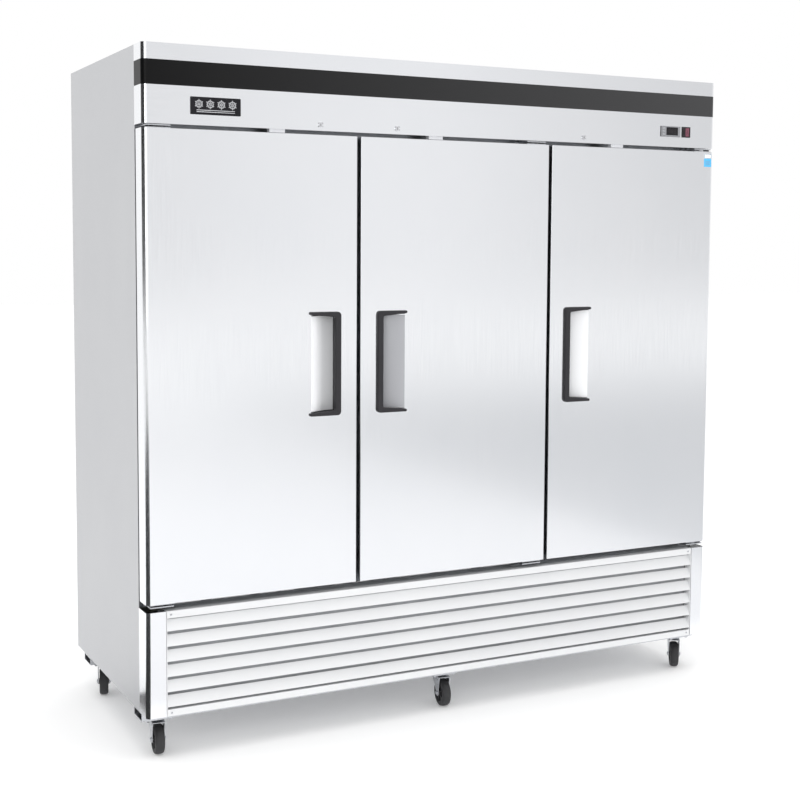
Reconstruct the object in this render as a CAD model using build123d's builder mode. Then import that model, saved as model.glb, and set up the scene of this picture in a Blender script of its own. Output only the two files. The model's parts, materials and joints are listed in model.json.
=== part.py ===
from build123d import *
import os
from math import atan2, cos, degrees, radians, sin

# Three-door reach-in refrigerator on casters, with the cooling machine under the cold box.
# Millimetres. +X is the buyer's right, +Y runs to the back, +Z is up, and the origin lies on
# the floor under the middle of the whole object. The doors face -Y.

os.makedirs("parts", exist_ok=True)

# --------------------------------------------------------------------------- overall sizes
WIDTH = 2080.0
DEPTH = 830.0  # door face to back panel
HEIGHT = 2110.0
HANDLE_PROUD = 10.0
GASKET_SPACE = 12.0  # between a door's back and the cabinet
MIDDLE_DOOR_WIDTH = 692.0
DOOR_GAP = 12.0
CHANNEL_HEIGHT = 24.0
GRILLE_HEIGHT = 319.0
SILL_GAP = 23.0
TOP_GAP = 12.0
HEADER_HEIGHT = 230.0

# --------------------------------------------------------------------------- sheet and walls
SHEET = 1.2
HEADER_SHEET = 2.0
WALL = 60.0  # steel, foam and liner together
SLAB_GAP = 0.2  # between neighbouring slabs or frame bars, which stay separate solids
CORNER_RADIUS = 15.0
EDGE_RADIUS = 3.0
FOAM_RADIUS_EXTRA = 2.0  # the foam is rounder than the skin, so it never touches in the corner

# --------------------------------------------------------------------------- face frame
FRAME_DEPTH = 30.0
FRAME_SHEET = 1.5
MULLION_WIDTH = 96.0
OPENING_SILL = 63.0  # height of the cold box floor above the machine space
DOOR_LAP_TOP = 38.0  # how far a door laps over the top rail

# --------------------------------------------------------------------------- header details
TRIM_THICK = 0.8
TRIM_HEIGHT = 71.5
TRIM_ABOVE_HEADER = 111.0
BADGE_SIZE = (155.0, 51.0, 2.0)
BADGE_FROM_EDGE = 144.0
BADGE_ABOVE_HEADER = 31.0
CONTROLLER_SIZE = (83.0, 36.0)
CONTROLLER_CENTRE = (194.5, 53.0)  # from the right side, and above the header's lower edge
CONTROLLER_PROUD = 3.0
CONTROLLER_DEPTH = 45.0
CONTROLLER_INSET = 3.0
DISPLAY_SIZE = (44.0, 22.0, 0.8)
DISPLAY_OFFSET = 9.0
PANEL_FIT = 0.5
KEY_SIZE = (9.0, 6.5)
KEY_DEPTH = 4.8
KEY_PROUD = 1.0
KEY_TRAVEL = 0.8
KEY_PITCH = 10.0
KEY_OFFSET = -31.0
KEY_FIT = 0.3
SWITCH_SIZE = (35.0, 36.5)
SWITCH_CENTRE = (126.5, 53.0)
SWITCH_PROUD = 2.5
SWITCH_DEPTH = 28.0
SWITCH_INSET = 1.2
SWITCH_WALL = 1.0
ROCKER_HALF = (13.0, 14.5)
ROCKER_TILT = 8.0
ROCKER_PIVOT_DEPTH = 8.0
ROCKER_FIT = 0.4
ROCKER_PIN_RADIUS = 1.5
ROCKER_PIN_LENGTH = 1.4

# --------------------------------------------------------------------------- locks and switches
LOCK_FROM_EDGE = 125.0
LOCK_ABOVE_HEADER = 18.0
LOCK_FLANGE = (9.5, 1.5)  # radius, thickness
LOCK_BARREL_RADIUS = 8.5
LOCK_BARREL_LENGTH = 20.0
LOCK_NUT = (12.0, 4.0)
LOCK_HOLE_FIT = 0.3
PLUG_RADIUS = 6.5
RUNNING_FIT = 0.05
PLUG_PROUD = 2.0
CAM_GAP = 1.0
CAM_THICK = 3.0
CAM_WIDTH = 12.0
CAM_LENGTH = 40.0
CAM_SCREW = (4.0, 3.0)
CAM_FIT = 3.0
DOOR_SWITCH_FROM_EDGE = 265.0
DOOR_SWITCH_SIZE = (50.0, 20.0)
DOOR_SWITCH_FRONT = 4.0
DOOR_SWITCH_CLEAR = 1.5

# --------------------------------------------------------------------------- doors
DOOR_THICK = 66.0
FLANGE_WIDTH = 42.0  # return of the skin round the back of a door
LINER_RISE = 8.0
GASKET_INSET = 24.0
GASKET_WIDTH = 16.0
GASKET_GAP = 0.4
PIVOT_FROM_EDGE = 22.0
PIVOT_FROM_FACE = 16.0
HINGE_PIN_RADIUS = 4.95
HINGE_BUSH_RADIUS = 8.0
HINGE_BUSH_LENGTH = 22.0
HINGE_BUSH_FIT = 0.3
HINGE_PLATE = 2.5
HINGE_SPAN = (13.0, 85.0)  # from the hinge edge of the door
HINGE_SETBACK = 2.0
DOOR_PLATE_SHORT = 6.0  # the plate ends this far before the door's back
BRACKET_PLATE = 3.5
BRACKET_FLANGE = 4.0
BRACKET_DROP = 16.0
WASHER_RADIUS = 9.0
WASHER_GAP = 0.3
TOP_WASHER = 4.2
BOTTOM_WASHER = 4.2
PIN_SHORT = 2.0  # the pin stops this far before the end of its bush

# --------------------------------------------------------------------------- handles
HANDLE_BOTTOM = 533.0  # above the bottom edge of the door
HANDLE_HEIGHT = 321.5
HANDLE_FROM_EDGE = 57.0
HANDLE_WIDTH = 104.0
HANDLE_BAR = 20.0
HANDLE_ARM = (16.0, 9.0)  # at the bar and at the tip
HANDLE_CORNER = 12.0
HANDLE_TIP_RADIUS = 3.0
HANDLE_SOFTEN = 2.5
HANDLE_LIP = 6.0
HANDLE_WALL = 3.0
SCOOP_FROM_BAR = 5.0
SCOOP_DEPTH = 40.0
SCOOP_FLAT = 24.0
SCOOP_RAMP = 70.0
SCOOP_BEND = 80.0  # radius where the ramp runs into the flat bottom
SCOOP_END = 10.0  # from each end of the handle

# --------------------------------------------------------------------------- lower front
POST_WIDTH = 60.0
GRILLE_RAIL_DEPTH = 30.0
GRILLE_TOP_RAIL = 22.0
GRILLE_BOTTOM_RAIL = 21.0
GRILLE_GAP = 1.5
GRILLE_END_PLATE = 2.0
LOUVRE_PITCH = 46.0
LOUVRE_FIRST = 28.5  # lowest lip above the bottom of the grille
LOUVRE_LIP = 4.0
LOUVRE_RUN = 15.0
LOUVRE_RISE = 30.0
LOUVRE_SHEET = 1.5

# --------------------------------------------------------------------------- base and casters
CHANNEL_WIDTH = 78.0
CHANNEL_SHEET = 2.5
DECK_SHEET = 2.0
FRONT_CASTER_SET = 19.0  # behind the front of the cabinet
REAR_CASTER_SET = 130.0  # before its back
CASTER_SIDE_SET = 56.0  # from its sides
FRONT_YAW = (6.0, 7.0, 33.0)  # rolling direction, turned from +Y towards +X
REAR_YAW = (15.0, 11.0, 21.0)
CASTER_PLATE = (84.0, 74.0, 3.0)
RACE_RADIUS = 20.0
RACE_HEIGHT = 5.0
KINGPIN_RADIUS = 5.0
KINGPIN_NUT = (7.5, 4.9)
SWIVEL_GAP = 0.3
FORK_SHEET = 3.0
FORK_CLEAR = 2.0  # each side of the tread
FORK_FRONT = 18.0
FORK_FOOT = 11.0
TRAIL = 27.0
WHEEL_CLEAR = 2.5  # between the tread and the kingpin's nut
WHEEL_RADIUS = 45.0
WHEEL_WIDTH = 30.0
WHEEL_SHOULDER = 5.0
WHEEL_DISH = (29.0, 5.0)
HUB_RADIUS = 10.0
HUB_GAP = 0.3
AXLE_RADIUS = 4.0
AXLE_HEAD = (7.0, 4.0)

# --------------------------------------------------------------------------- inside
SHELF_LEVELS = (800.0, 1110.0, 1420.0)
SHELF_THICK = 10.0
SHELF_BAR = 8.0
SHELF_SLATS = 9
SHELF_FRONT = 14.0  # behind the face frame
SHELF_BACK = 12.0  # before the back of the liner
SHELF_SIDE = 12.0
SUPPORT_WIDTH = 16.0
SUPPORT_THICK = 6.0
SUPPORT_INSET = 70.0
SUPPORT_FOOT = 40.0
CLIP_REACH = 12.0
CLIP_HEIGHT = 8.0
LIGHT_SIZE = (360.0, 22.0, 9.0)
BOX_FRONT_WALL = 60.0
EVAPORATOR_HALF = 560.0
EVAPORATOR_BEHIND = 115.5  # air way between the cover and the back of the liner
EVAPORATOR_HEIGHT = 188.0
COIL_SIZE = (1000.0, 132.0)
COIL_FROM_MOTOR = 123.8
COIL_CORE = (60.0, 40.0)
COIL_FINS = 26
COIL_FIN = 1.5
EVAPORATOR_FAN_X = 300.0
EVAPORATOR_FAN_Y = 125.0  # behind the front of the cover
EVAPORATOR_FAN_RADIUS = 92.0
FAN_HOLE_EXTRA = 8.0
FAN_GUARD_BAR = 4.0
FAN_HUB_RADIUS = 22.0
FAN_HUB_HEIGHT = 20.0
FAN_BLADES = 5
FAN_BLADE = (46.0, 2.0)
FAN_PITCH = 24.0
FAN_SHAFT_RADIUS = 3.0
MOTOR_RADIUS = 34.0
MOTOR_HEIGHT = 55.0
MOTOR_GAP = 6.0

# --------------------------------------------------------------------------- cooling machine
UNIT_TRAY = (760.0, 20.0)
TRAY_CLEAR = 65.4  # before the back panel, and behind the cabinet's front
COMPRESSOR_SET = (-230.0, 230.0)  # from the middle, and from the back
COMPRESSOR_RADIUS = 88.0
COMPRESSOR_HEIGHT = 176.0
COMPRESSOR_DOME = 38.0
CONDENSER_SIZE = (420.0, 70.0, 236.0)
CONDENSER_SET = (90.0, 117.0)  # from the middle, and behind the cabinet's front
CONDENSER_FINS = 30
CONDENSER_CORE = (20.0, 160.0)
SHROUD_DEPTH = 44.0
CONDENSER_FAN_RADIUS = 100.0
STARTER_BOX = (130.0, 80.0, 110.0)
STARTER_SET = (250.0, 210.0)
RECEIVER = (30.0, 200.0)
RECEIVER_SET = (20.0, 220.0)
GLAND = (11.0, 16.0, 18.0)  # hole radius, flange radius, length behind the panel
GLAND_SET = (140.0, 220.0)  # from the side, and above the floor
VENT_SIZE = (150.0, 8.0)
VENT_COUNT = (8, 9)
VENT_PITCH = (190.0, 26.0)

# --------------------------------------------------------------------------- derived planes
HALF = WIDTH / 2
FRONT_ZONE = DOOR_THICK + GASKET_SPACE
FORK_INNER = WHEEL_WIDTH + 2 * FORK_CLEAR
FORK_STACK = KINGPIN_NUT[1] + SWIVEL_GAP + FORK_SHEET + SWIVEL_GAP + RACE_HEIGHT
CASTER_HEIGHT = 2 * WHEEL_RADIUS + WHEEL_CLEAR + FORK_STACK + CASTER_PLATE[2]
FRONT_Y = HANDLE_PROUD - (DEPTH + HANDLE_PROUD) / 2
BACK_Y = FRONT_Y + DEPTH
CABINET_Y = FRONT_Y + FRONT_ZONE
FRAME_BACK = CABINET_Y + FRAME_DEPTH
BODY_BOTTOM = CASTER_HEIGHT + CHANNEL_HEIGHT
GRILLE_TOP = BODY_BOTTOM + GRILLE_HEIGHT
DOOR_BOTTOM = GRILLE_TOP + SILL_GAP
HEADER_BOTTOM = HEIGHT - HEADER_HEIGHT
DOOR_TOP = HEADER_BOTTOM - TOP_GAP
DOOR_BACK = FRONT_Y + DOOR_THICK
LINER_X = HALF - WALL
LINER_BACK = BACK_Y - WALL
LINER_FLOOR = GRILLE_TOP + OPENING_SILL
LINER_CEILING = HEIGHT - WALL - 10.0
OPENING_TOP = DOOR_TOP - DOOR_LAP_TOP
MIDDLE_HALF = MIDDLE_DOOR_WIDTH / 2
MULLION_X = MIDDLE_HALF + DOOR_GAP / 2
LOCK_Z = HEADER_BOTTOM + LOCK_ABOVE_HEADER
PLUG_FRONT = FRONT_Y - PLUG_PROUD
BARREL_BACK = FRONT_Y + LOCK_BARREL_LENGTH
CAM_FRONT = BARREL_BACK + CAM_GAP
CAM_BACK = CAM_FRONT + CAM_THICK
CAM_SIDE = CAM_WIDTH / 2 + CAM_FIT
CAM_REACH = CAM_LENGTH + CAM_FIT
DOOR_PLATE_DEPTH = DOOR_THICK - HINGE_SETBACK - DOOR_PLATE_SHORT
LOUVRE_TOP = LOUVRE_LIP + LOUVRE_RISE
LOUVRE_ROOM = GRILLE_HEIGHT - GRILLE_TOP_RAIL - LOUVRE_FIRST - LOUVRE_TOP
LOUVRE_COUNT = int(LOUVRE_ROOM / LOUVRE_PITCH) + 1
TRAY_DEPTH = BACK_Y - SHEET - CABINET_Y - 2 * TRAY_CLEAR
COMPRESSOR_AT = (COMPRESSOR_SET[0], BACK_Y - COMPRESSOR_SET[1])
STARTER_AT = (STARTER_SET[0], BACK_Y - STARTER_SET[1])
RECEIVER_AT = (RECEIVER_SET[0], BACK_Y - RECEIVER_SET[1])
CONDENSER_AT = (CONDENSER_SET[0], CABINET_Y + CONDENSER_SET[1])
GLAND_AT = (HALF - GLAND_SET[0], GLAND_SET[1])
CASTER_X = HALF - CASTER_SIDE_SET

# A door: name, x of its handle edge, x of its hinge edge.
DOORS = (
    ("left", -MIDDLE_HALF - DOOR_GAP, -HALF),
    ("middle", -MIDDLE_HALF, MIDDLE_HALF),
    ("right", MIDDLE_HALF + DOOR_GAP, HALF),
)


def slab(x0, x1, y0, y1, z0, z1, mode=Mode.ADD):
    """A box between two opposite corners, added to or cut from the part being built."""
    with Locations(((x0 + x1) / 2, (y0 + y1) / 2, (z0 + z1) / 2)):
        Box(abs(x1 - x0), abs(y1 - y0), abs(z1 - z0), mode=mode)


def rod_z(x, y, z0, z1, radius, mode=Mode.ADD):
    """An upright cylinder from z0 to z1."""
    with Locations((x, y, (z0 + z1) / 2)):
        Cylinder(radius, abs(z1 - z0), mode=mode)


def rod_y(x, z, y0, y1, radius, mode=Mode.ADD):
    """A cylinder along Y from y0 to y1."""
    with Locations((x, (y0 + y1) / 2, z)):
        Cylinder(radius, abs(y1 - y0), rotation=(90, 0, 0), mode=mode)


def rod_x(y, z, x0, x1, radius, mode=Mode.ADD):
    """A cylinder along X from x0 to x1."""
    with Locations(((x0 + x1) / 2, y, z)):
        Cylinder(radius, abs(x1 - x0), rotation=(0, 90, 0), mode=mode)


def write(part, name):
    """Label a finished piece and write it as its own STEP file."""
    part.label = name
    export_step(part, f"parts/{name}.step")


def towards_hinge(door):
    """+1 where a door's hinge is to the right of its handle, -1 where it is to the left."""
    return 1 if door[2] > door[1] else -1


def pivot_x(door):
    """x of a door's hinge pins."""
    return door[2] - towards_hinge(door) * PIVOT_FROM_EDGE


PIVOT_Y = FRONT_Y + PIVOT_FROM_FACE

# =========================================================================== cabinet shell
with BuildPart() as side_panels:
    for side in (-1, 1):
        slab(side * HALF, side * (HALF - SHEET), CABINET_Y, BACK_Y - SHEET, BODY_BOTTOM, HEIGHT)
write(side_panels.part, "side_panels")

with BuildPart() as top_panel:
    slab(SHEET - HALF, HALF - SHEET, CABINET_Y, BACK_Y - SHEET, HEIGHT - SHEET, HEIGHT)
write(top_panel.part, "top_panel")

with BuildPart() as back_panel:
    slab(-HALF, HALF, BACK_Y - SHEET, BACK_Y, BODY_BOTTOM, HEIGHT)
    with BuildSketch(Plane.XZ.offset(-BACK_Y)):
        with Locations((0, (BODY_BOTTOM + GRILLE_TOP) / 2)):
            with GridLocations(*VENT_PITCH, *VENT_COUNT):
                Rectangle(*VENT_SIZE)
    extrude(amount=SHEET, mode=Mode.SUBTRACT)
    rod_y(GLAND_AT[0], GLAND_AT[1], BACK_Y - 2 * SHEET, BACK_Y + SHEET, GLAND[0], Mode.SUBTRACT)
write(back_panel.part, "back_panel")

# Foam between the steel and the liner, one slab to each side of the cold room.
FOAM_OUT = HALF - SHEET
FOAM_IN = LINER_X + SHEET
FOAM_ACROSS = FOAM_IN - SLAB_GAP
FOAM_BACK_OUT = BACK_Y - SHEET
FOAM_BACK_IN = LINER_BACK + SHEET
FOAM_FRONT = FRAME_BACK + SLAB_GAP
FOAM_TOP = HEIGHT - SHEET
with BuildPart() as insulation_slabs:
    for side in (-1, 1):
        slab(side * FOAM_IN, side * FOAM_OUT, FOAM_FRONT, FOAM_BACK_OUT, GRILLE_TOP, FOAM_TOP)
    slab(-FOAM_ACROSS, FOAM_ACROSS, FOAM_BACK_IN, FOAM_BACK_OUT, GRILLE_TOP, FOAM_TOP)
    for z0, z1 in ((LINER_CEILING + SHEET, FOAM_TOP), (GRILLE_TOP, LINER_FLOOR - SHEET)):
        slab(-FOAM_ACROSS, FOAM_ACROSS, FOAM_FRONT, FOAM_BACK_IN - SLAB_GAP, z0, z1)
    slab(-LINER_X, LINER_X, FOAM_FRONT, FRAME_BACK + BOX_FRONT_WALL, OPENING_TOP, LINER_CEILING)
write(insulation_slabs.part, "insulation_slabs")

with BuildPart() as inner_liner:
    slab(-FOAM_IN, FOAM_IN, FOAM_FRONT, FOAM_BACK_IN, LINER_FLOOR - SHEET, LINER_CEILING + SHEET)
    slab(-LINER_X, LINER_X, FOAM_FRONT, LINER_BACK, LINER_FLOOR, LINER_CEILING, Mode.SUBTRACT)
write(inner_liner.part, "inner_liner")

# The steel face that the gaskets close on: posts at the ends, rails, and two mullions.
MULLION_IN = MULLION_X - MULLION_WIDTH / 2
MULLION_OUT = MULLION_X + MULLION_WIDTH / 2
MULLION_Z = (LINER_FLOOR + SLAB_GAP, OPENING_TOP - SLAB_GAP)
RAIL_END = LINER_X - SLAB_GAP
FRAME_BARS = (
    (-FOAM_OUT, -LINER_X, GRILLE_TOP, FOAM_TOP),
    (LINER_X, FOAM_OUT, GRILLE_TOP, FOAM_TOP),
    (-MULLION_OUT, -MULLION_IN, *MULLION_Z),
    (MULLION_IN, MULLION_OUT, *MULLION_Z),
    (-RAIL_END, RAIL_END, GRILLE_TOP, LINER_FLOOR),
    (-RAIL_END, RAIL_END, OPENING_TOP, FOAM_TOP),
)
with BuildPart() as face_frame:
    for x0, x1, z0, z1 in FRAME_BARS:
        slab(x0, x1, CABINET_Y, FRAME_BACK, z0, z1)
        slab(x0 + FRAME_SHEET, x1 - FRAME_SHEET, CABINET_Y + FRAME_SHEET, FRAME_BACK,
             z0 + FRAME_SHEET, z1 - FRAME_SHEET, Mode.SUBTRACT)
write(face_frame.part, "face_frame")

# =========================================================================== header
CONTROLLER_Z = HEADER_BOTTOM + CONTROLLER_CENTRE[1]
SWITCH_Z = HEADER_BOTTOM + SWITCH_CENTRE[1]
CONTROLLER_X = HALF - CONTROLLER_CENTRE[0]
SWITCH_X = HALF - SWITCH_CENTRE[0]
TRIM_BOTTOM = HEADER_BOTTOM + TRIM_ABOVE_HEADER
HEADER_MID_Y = (FRONT_Y + CABINET_Y) / 2


def lock_x(door):
    """x of the key lock over a door."""
    return door[1] + towards_hinge(door) * LOCK_FROM_EDGE


with BuildPart() as header_fascia:
    with BuildSketch(Plane.XY.offset(HEADER_BOTTOM)) as plan:
        with Locations((0, HEADER_MID_Y)):
            Rectangle(WIDTH, FRONT_ZONE)
        fillet(plan.vertices().group_by(Axis.Y)[0], CORNER_RADIUS)
    extrude(amount=HEADER_HEIGHT)
    with BuildSketch(Plane.XY.offset(HEADER_BOTTOM + HEADER_SHEET)) as room:
        with Locations((0, HEADER_MID_Y + HEADER_SHEET / 2)):
            Rectangle(WIDTH - 2 * HEADER_SHEET, FRONT_ZONE - HEADER_SHEET)
        fillet(room.vertices().group_by(Axis.Y)[0], CORNER_RADIUS - HEADER_SHEET)
    extrude(amount=HEADER_HEIGHT - 2 * HEADER_SHEET, mode=Mode.SUBTRACT)
    with BuildSketch(Plane.XY.offset(TRIM_BOTTOM)) as groove:
        with Locations((0, HEADER_MID_Y)):
            Rectangle(WIDTH, FRONT_ZONE)
        fillet(groove.vertices().group_by(Axis.Y)[0], CORNER_RADIUS)
        with BuildSketch(mode=Mode.SUBTRACT) as core:
            with Locations((0, HEADER_MID_Y + TRIM_THICK / 2)):
                Rectangle(WIDTH - 2 * TRIM_THICK, FRONT_ZONE - TRIM_THICK)
            fillet(core.vertices().group_by(Axis.Y)[0], CORNER_RADIUS - TRIM_THICK)
    extrude(amount=TRIM_HEIGHT, mode=Mode.SUBTRACT)
    for door in DOORS:
        x = lock_x(door)
        rod_y(x, LOCK_Z, FRONT_Y - 1, FRONT_Y + HEADER_SHEET + 1,
              LOCK_BARREL_RADIUS + LOCK_HOLE_FIT, Mode.SUBTRACT)
        slab(x - CAM_SIDE, x + CAM_REACH, CAM_FRONT - CAM_FIT, CAM_BACK + CAM_FIT,
             HEADER_BOTTOM, HEADER_BOTTOM + HEADER_SHEET, Mode.SUBTRACT)
    for x, z, size, inset in (
        (CONTROLLER_X, CONTROLLER_Z, CONTROLLER_SIZE, CONTROLLER_INSET - PANEL_FIT),
        (SWITCH_X, SWITCH_Z, SWITCH_SIZE, SWITCH_INSET - PANEL_FIT),
    ):
        half = (size[0] / 2 - inset, size[1] / 2 - inset)
        slab(x - half[0], x + half[0], FRONT_Y, FRONT_Y + HEADER_SHEET,
             z - half[1], z + half[1], Mode.SUBTRACT)
write(header_fascia.part, "header_fascia")

# The dark band lies in the header's groove, and the badge plate is stuck on below it.
BADGE_X = BADGE_FROM_EDGE - HALF + BADGE_SIZE[0] / 2
BADGE_Z = HEADER_BOTTOM + BADGE_ABOVE_HEADER + BADGE_SIZE[1] / 2
with BuildPart() as header_trim:
    with BuildSketch(Plane.XY.offset(TRIM_BOTTOM)) as band:
        with Locations((0, HEADER_MID_Y)):
            Rectangle(WIDTH, FRONT_ZONE)
        fillet(band.vertices().group_by(Axis.Y)[0], CORNER_RADIUS)
        with BuildSketch(mode=Mode.SUBTRACT) as core:
            with Locations((0, HEADER_MID_Y + TRIM_THICK / 2)):
                Rectangle(WIDTH - 2 * TRIM_THICK, FRONT_ZONE - TRIM_THICK)
            fillet(core.vertices().group_by(Axis.Y)[0], CORNER_RADIUS - TRIM_THICK)
    extrude(amount=TRIM_HEIGHT)
    with BuildSketch(Plane.XZ.offset(-FRONT_Y)):
        with Locations((BADGE_X, BADGE_Z)):
            RectangleRounded(BADGE_SIZE[0], BADGE_SIZE[1], EDGE_RADIUS)
    extrude(amount=BADGE_SIZE[2])
write(header_trim.part, "header_trim")

CONTROLLER_FACE = FRONT_Y - CONTROLLER_PROUD
KEY_FRONT = CONTROLLER_FACE - KEY_PROUD
KEY_BACK = KEY_FRONT + KEY_DEPTH
KEY_X = CONTROLLER_X + KEY_OFFSET
KEY_LEVELS = [CONTROLLER_Z + KEY_PITCH * step for step in (1, 0, -1)]
with BuildPart() as controller_case:
    slab(CONTROLLER_X - CONTROLLER_SIZE[0] / 2, CONTROLLER_X + CONTROLLER_SIZE[0] / 2,
         CONTROLLER_FACE, FRONT_Y,
         CONTROLLER_Z - CONTROLLER_SIZE[1] / 2, CONTROLLER_Z + CONTROLLER_SIZE[1] / 2)
    half = (CONTROLLER_SIZE[0] / 2 - CONTROLLER_INSET, CONTROLLER_SIZE[1] / 2 - CONTROLLER_INSET)
    slab(CONTROLLER_X - half[0], CONTROLLER_X + half[0], FRONT_Y, FRONT_Y + CONTROLLER_DEPTH,
         CONTROLLER_Z - half[1], CONTROLLER_Z + half[1])
    slab(CONTROLLER_X + DISPLAY_OFFSET - DISPLAY_SIZE[0] / 2,
         CONTROLLER_X + DISPLAY_OFFSET + DISPLAY_SIZE[0] / 2,
         CONTROLLER_FACE, CONTROLLER_FACE + DISPLAY_SIZE[2],
         CONTROLLER_Z - DISPLAY_SIZE[1] / 2, CONTROLLER_Z + DISPLAY_SIZE[1] / 2, Mode.SUBTRACT)
    for z in KEY_LEVELS:
        slab(KEY_X - KEY_SIZE[0] / 2 - KEY_FIT, KEY_X + KEY_SIZE[0] / 2 + KEY_FIT,
             CONTROLLER_FACE, KEY_BACK + KEY_TRAVEL + KEY_FIT,
             z - KEY_SIZE[1] / 2 - KEY_FIT, z + KEY_SIZE[1] / 2 + KEY_FIT, Mode.SUBTRACT)
write(controller_case.part, "controller_case")

for name, z in zip(("up", "set", "down"), KEY_LEVELS):
    with BuildPart() as key:
        slab(KEY_X - KEY_SIZE[0] / 2, KEY_X + KEY_SIZE[0] / 2, KEY_FRONT, KEY_BACK,
             z - KEY_SIZE[1] / 2, z + KEY_SIZE[1] / 2)
    write(key.part, f"controller_button_{name}")

# The rocker turns about an upright pin behind the face; its two faces make a shallow V.
ROCKER_Y = FRONT_Y + ROCKER_PIVOT_DEPTH
ROCKER_EDGE = ROCKER_PIVOT_DEPTH + 2.4
ROCKER_MIDDLE = ROCKER_PIVOT_DEPTH + 0.5
ROCKER_SWEEP = (ROCKER_HALF[0] ** 2 + ROCKER_EDGE**2) ** 0.5
ROCKER_CORNER = atan2(ROCKER_EDGE, ROCKER_HALF[0]) - radians(ROCKER_TILT)
ROCKER_ROOM = ROCKER_SWEEP * cos(ROCKER_CORNER) + ROCKER_FIT
ROCKER_PIN_TOP = ROCKER_HALF[1] + ROCKER_PIN_LENGTH
with BuildPart() as switch_bezel:
    slab(SWITCH_X - SWITCH_SIZE[0] / 2, SWITCH_X + SWITCH_SIZE[0] / 2,
         FRONT_Y - SWITCH_PROUD, FRONT_Y,
         SWITCH_Z - SWITCH_SIZE[1] / 2, SWITCH_Z + SWITCH_SIZE[1] / 2)
    half = (SWITCH_SIZE[0] / 2 - SWITCH_INSET, SWITCH_SIZE[1] / 2 - SWITCH_INSET)
    slab(SWITCH_X - half[0], SWITCH_X + half[0], FRONT_Y, FRONT_Y + SWITCH_DEPTH,
         SWITCH_Z - half[1], SWITCH_Z + half[1])
    slab(SWITCH_X - ROCKER_ROOM, SWITCH_X + ROCKER_ROOM,
         FRONT_Y - SWITCH_PROUD, FRONT_Y,
         SWITCH_Z - ROCKER_HALF[1] - ROCKER_FIT, SWITCH_Z + ROCKER_HALF[1] + ROCKER_FIT,
         Mode.SUBTRACT)
    slab(SWITCH_X - half[0] + SWITCH_WALL, SWITCH_X + half[0] - SWITCH_WALL,
         FRONT_Y, FRONT_Y + SWITCH_DEPTH - SWITCH_WALL,
         SWITCH_Z - ROCKER_HALF[1] - ROCKER_FIT, SWITCH_Z + ROCKER_HALF[1] + ROCKER_FIT,
         Mode.SUBTRACT)
    rod_z(SWITCH_X, ROCKER_Y, SWITCH_Z - ROCKER_PIN_TOP - ROCKER_FIT,
          SWITCH_Z + ROCKER_PIN_TOP + ROCKER_FIT, ROCKER_PIN_RADIUS + RUNNING_FIT, Mode.SUBTRACT)
write(switch_bezel.part, "switch_bezel")

with BuildPart() as power_rocker:
    rocker_plane = Plane(
        origin=(SWITCH_X, ROCKER_Y, SWITCH_Z - ROCKER_HALF[1]),
        x_dir=(cos(radians(ROCKER_TILT)), -sin(radians(ROCKER_TILT)), 0),
        z_dir=(0, 0, 1),
    )
    with BuildSketch(rocker_plane):
        Polygon(
            (-ROCKER_HALF[0], -ROCKER_EDGE),
            (0, -ROCKER_MIDDLE),
            (ROCKER_HALF[0], -ROCKER_EDGE),
            (ROCKER_HALF[0] - 2, 0),
            (4, 4),
            (-4, 4),
            (2 - ROCKER_HALF[0], 0),
            align=None,
        )
    extrude(amount=2 * ROCKER_HALF[1])
    rod_z(SWITCH_X, ROCKER_Y, SWITCH_Z - ROCKER_PIN_TOP, SWITCH_Z + ROCKER_PIN_TOP,
          ROCKER_PIN_RADIUS)
write(power_rocker.part, "power_rocker")

# Key locks: a fixed barrel through the header, and a plug in it with a cam on its tail.
with BuildPart() as lock_bodies:
    for door in DOORS:
        x = lock_x(door)
        rod_y(x, LOCK_Z, FRONT_Y - LOCK_FLANGE[1], FRONT_Y, LOCK_FLANGE[0])
        rod_y(x, LOCK_Z, FRONT_Y, BARREL_BACK, LOCK_BARREL_RADIUS)
        rod_y(x, LOCK_Z, FRONT_Y + HEADER_SHEET, FRONT_Y + HEADER_SHEET + LOCK_NUT[1],
              LOCK_NUT[0])
        rod_y(x, LOCK_Z, FRONT_Y - LOCK_FLANGE[1] - 1, BARREL_BACK + 1,
              PLUG_RADIUS + RUNNING_FIT, Mode.SUBTRACT)
write(lock_bodies.part, "lock_bodies")

for door in DOORS:
    x = lock_x(door)
    with BuildPart() as lock_plug:
        rod_y(x, LOCK_Z, PLUG_FRONT, CAM_FRONT, PLUG_RADIUS)
        with BuildSketch(Plane.XZ.offset(-CAM_BACK)):
            with Locations((x, LOCK_Z)):
                Circle(CAM_WIDTH / 2 + 1)
            with Locations((x + CAM_LENGTH / 2 - 0.5, LOCK_Z)):
                Rectangle(CAM_LENGTH - 1, CAM_WIDTH)
        extrude(amount=CAM_THICK)
        rod_y(x, LOCK_Z, CAM_BACK, CAM_BACK + CAM_SCREW[1], CAM_SCREW[0])
        slab(x - 0.6, x + 0.6, PLUG_FRONT, PLUG_FRONT + 2.5,
             LOCK_Z - 3.8, LOCK_Z + 3.8, Mode.SUBTRACT)
    write(lock_plug.part, f"lock_plug_{door[0]}")

with BuildPart() as door_switches:
    for door in DOORS:
        x = door[1] + towards_hinge(door) * DOOR_SWITCH_FROM_EDGE
        y0 = FRONT_Y + DOOR_SWITCH_FRONT
        slab(x - DOOR_SWITCH_SIZE[0] / 2, x + DOOR_SWITCH_SIZE[0] / 2,
             y0, y0 + DOOR_SWITCH_SIZE[1], DOOR_TOP + DOOR_SWITCH_CLEAR, HEADER_BOTTOM)
write(door_switches.part, "door_switches")

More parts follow.
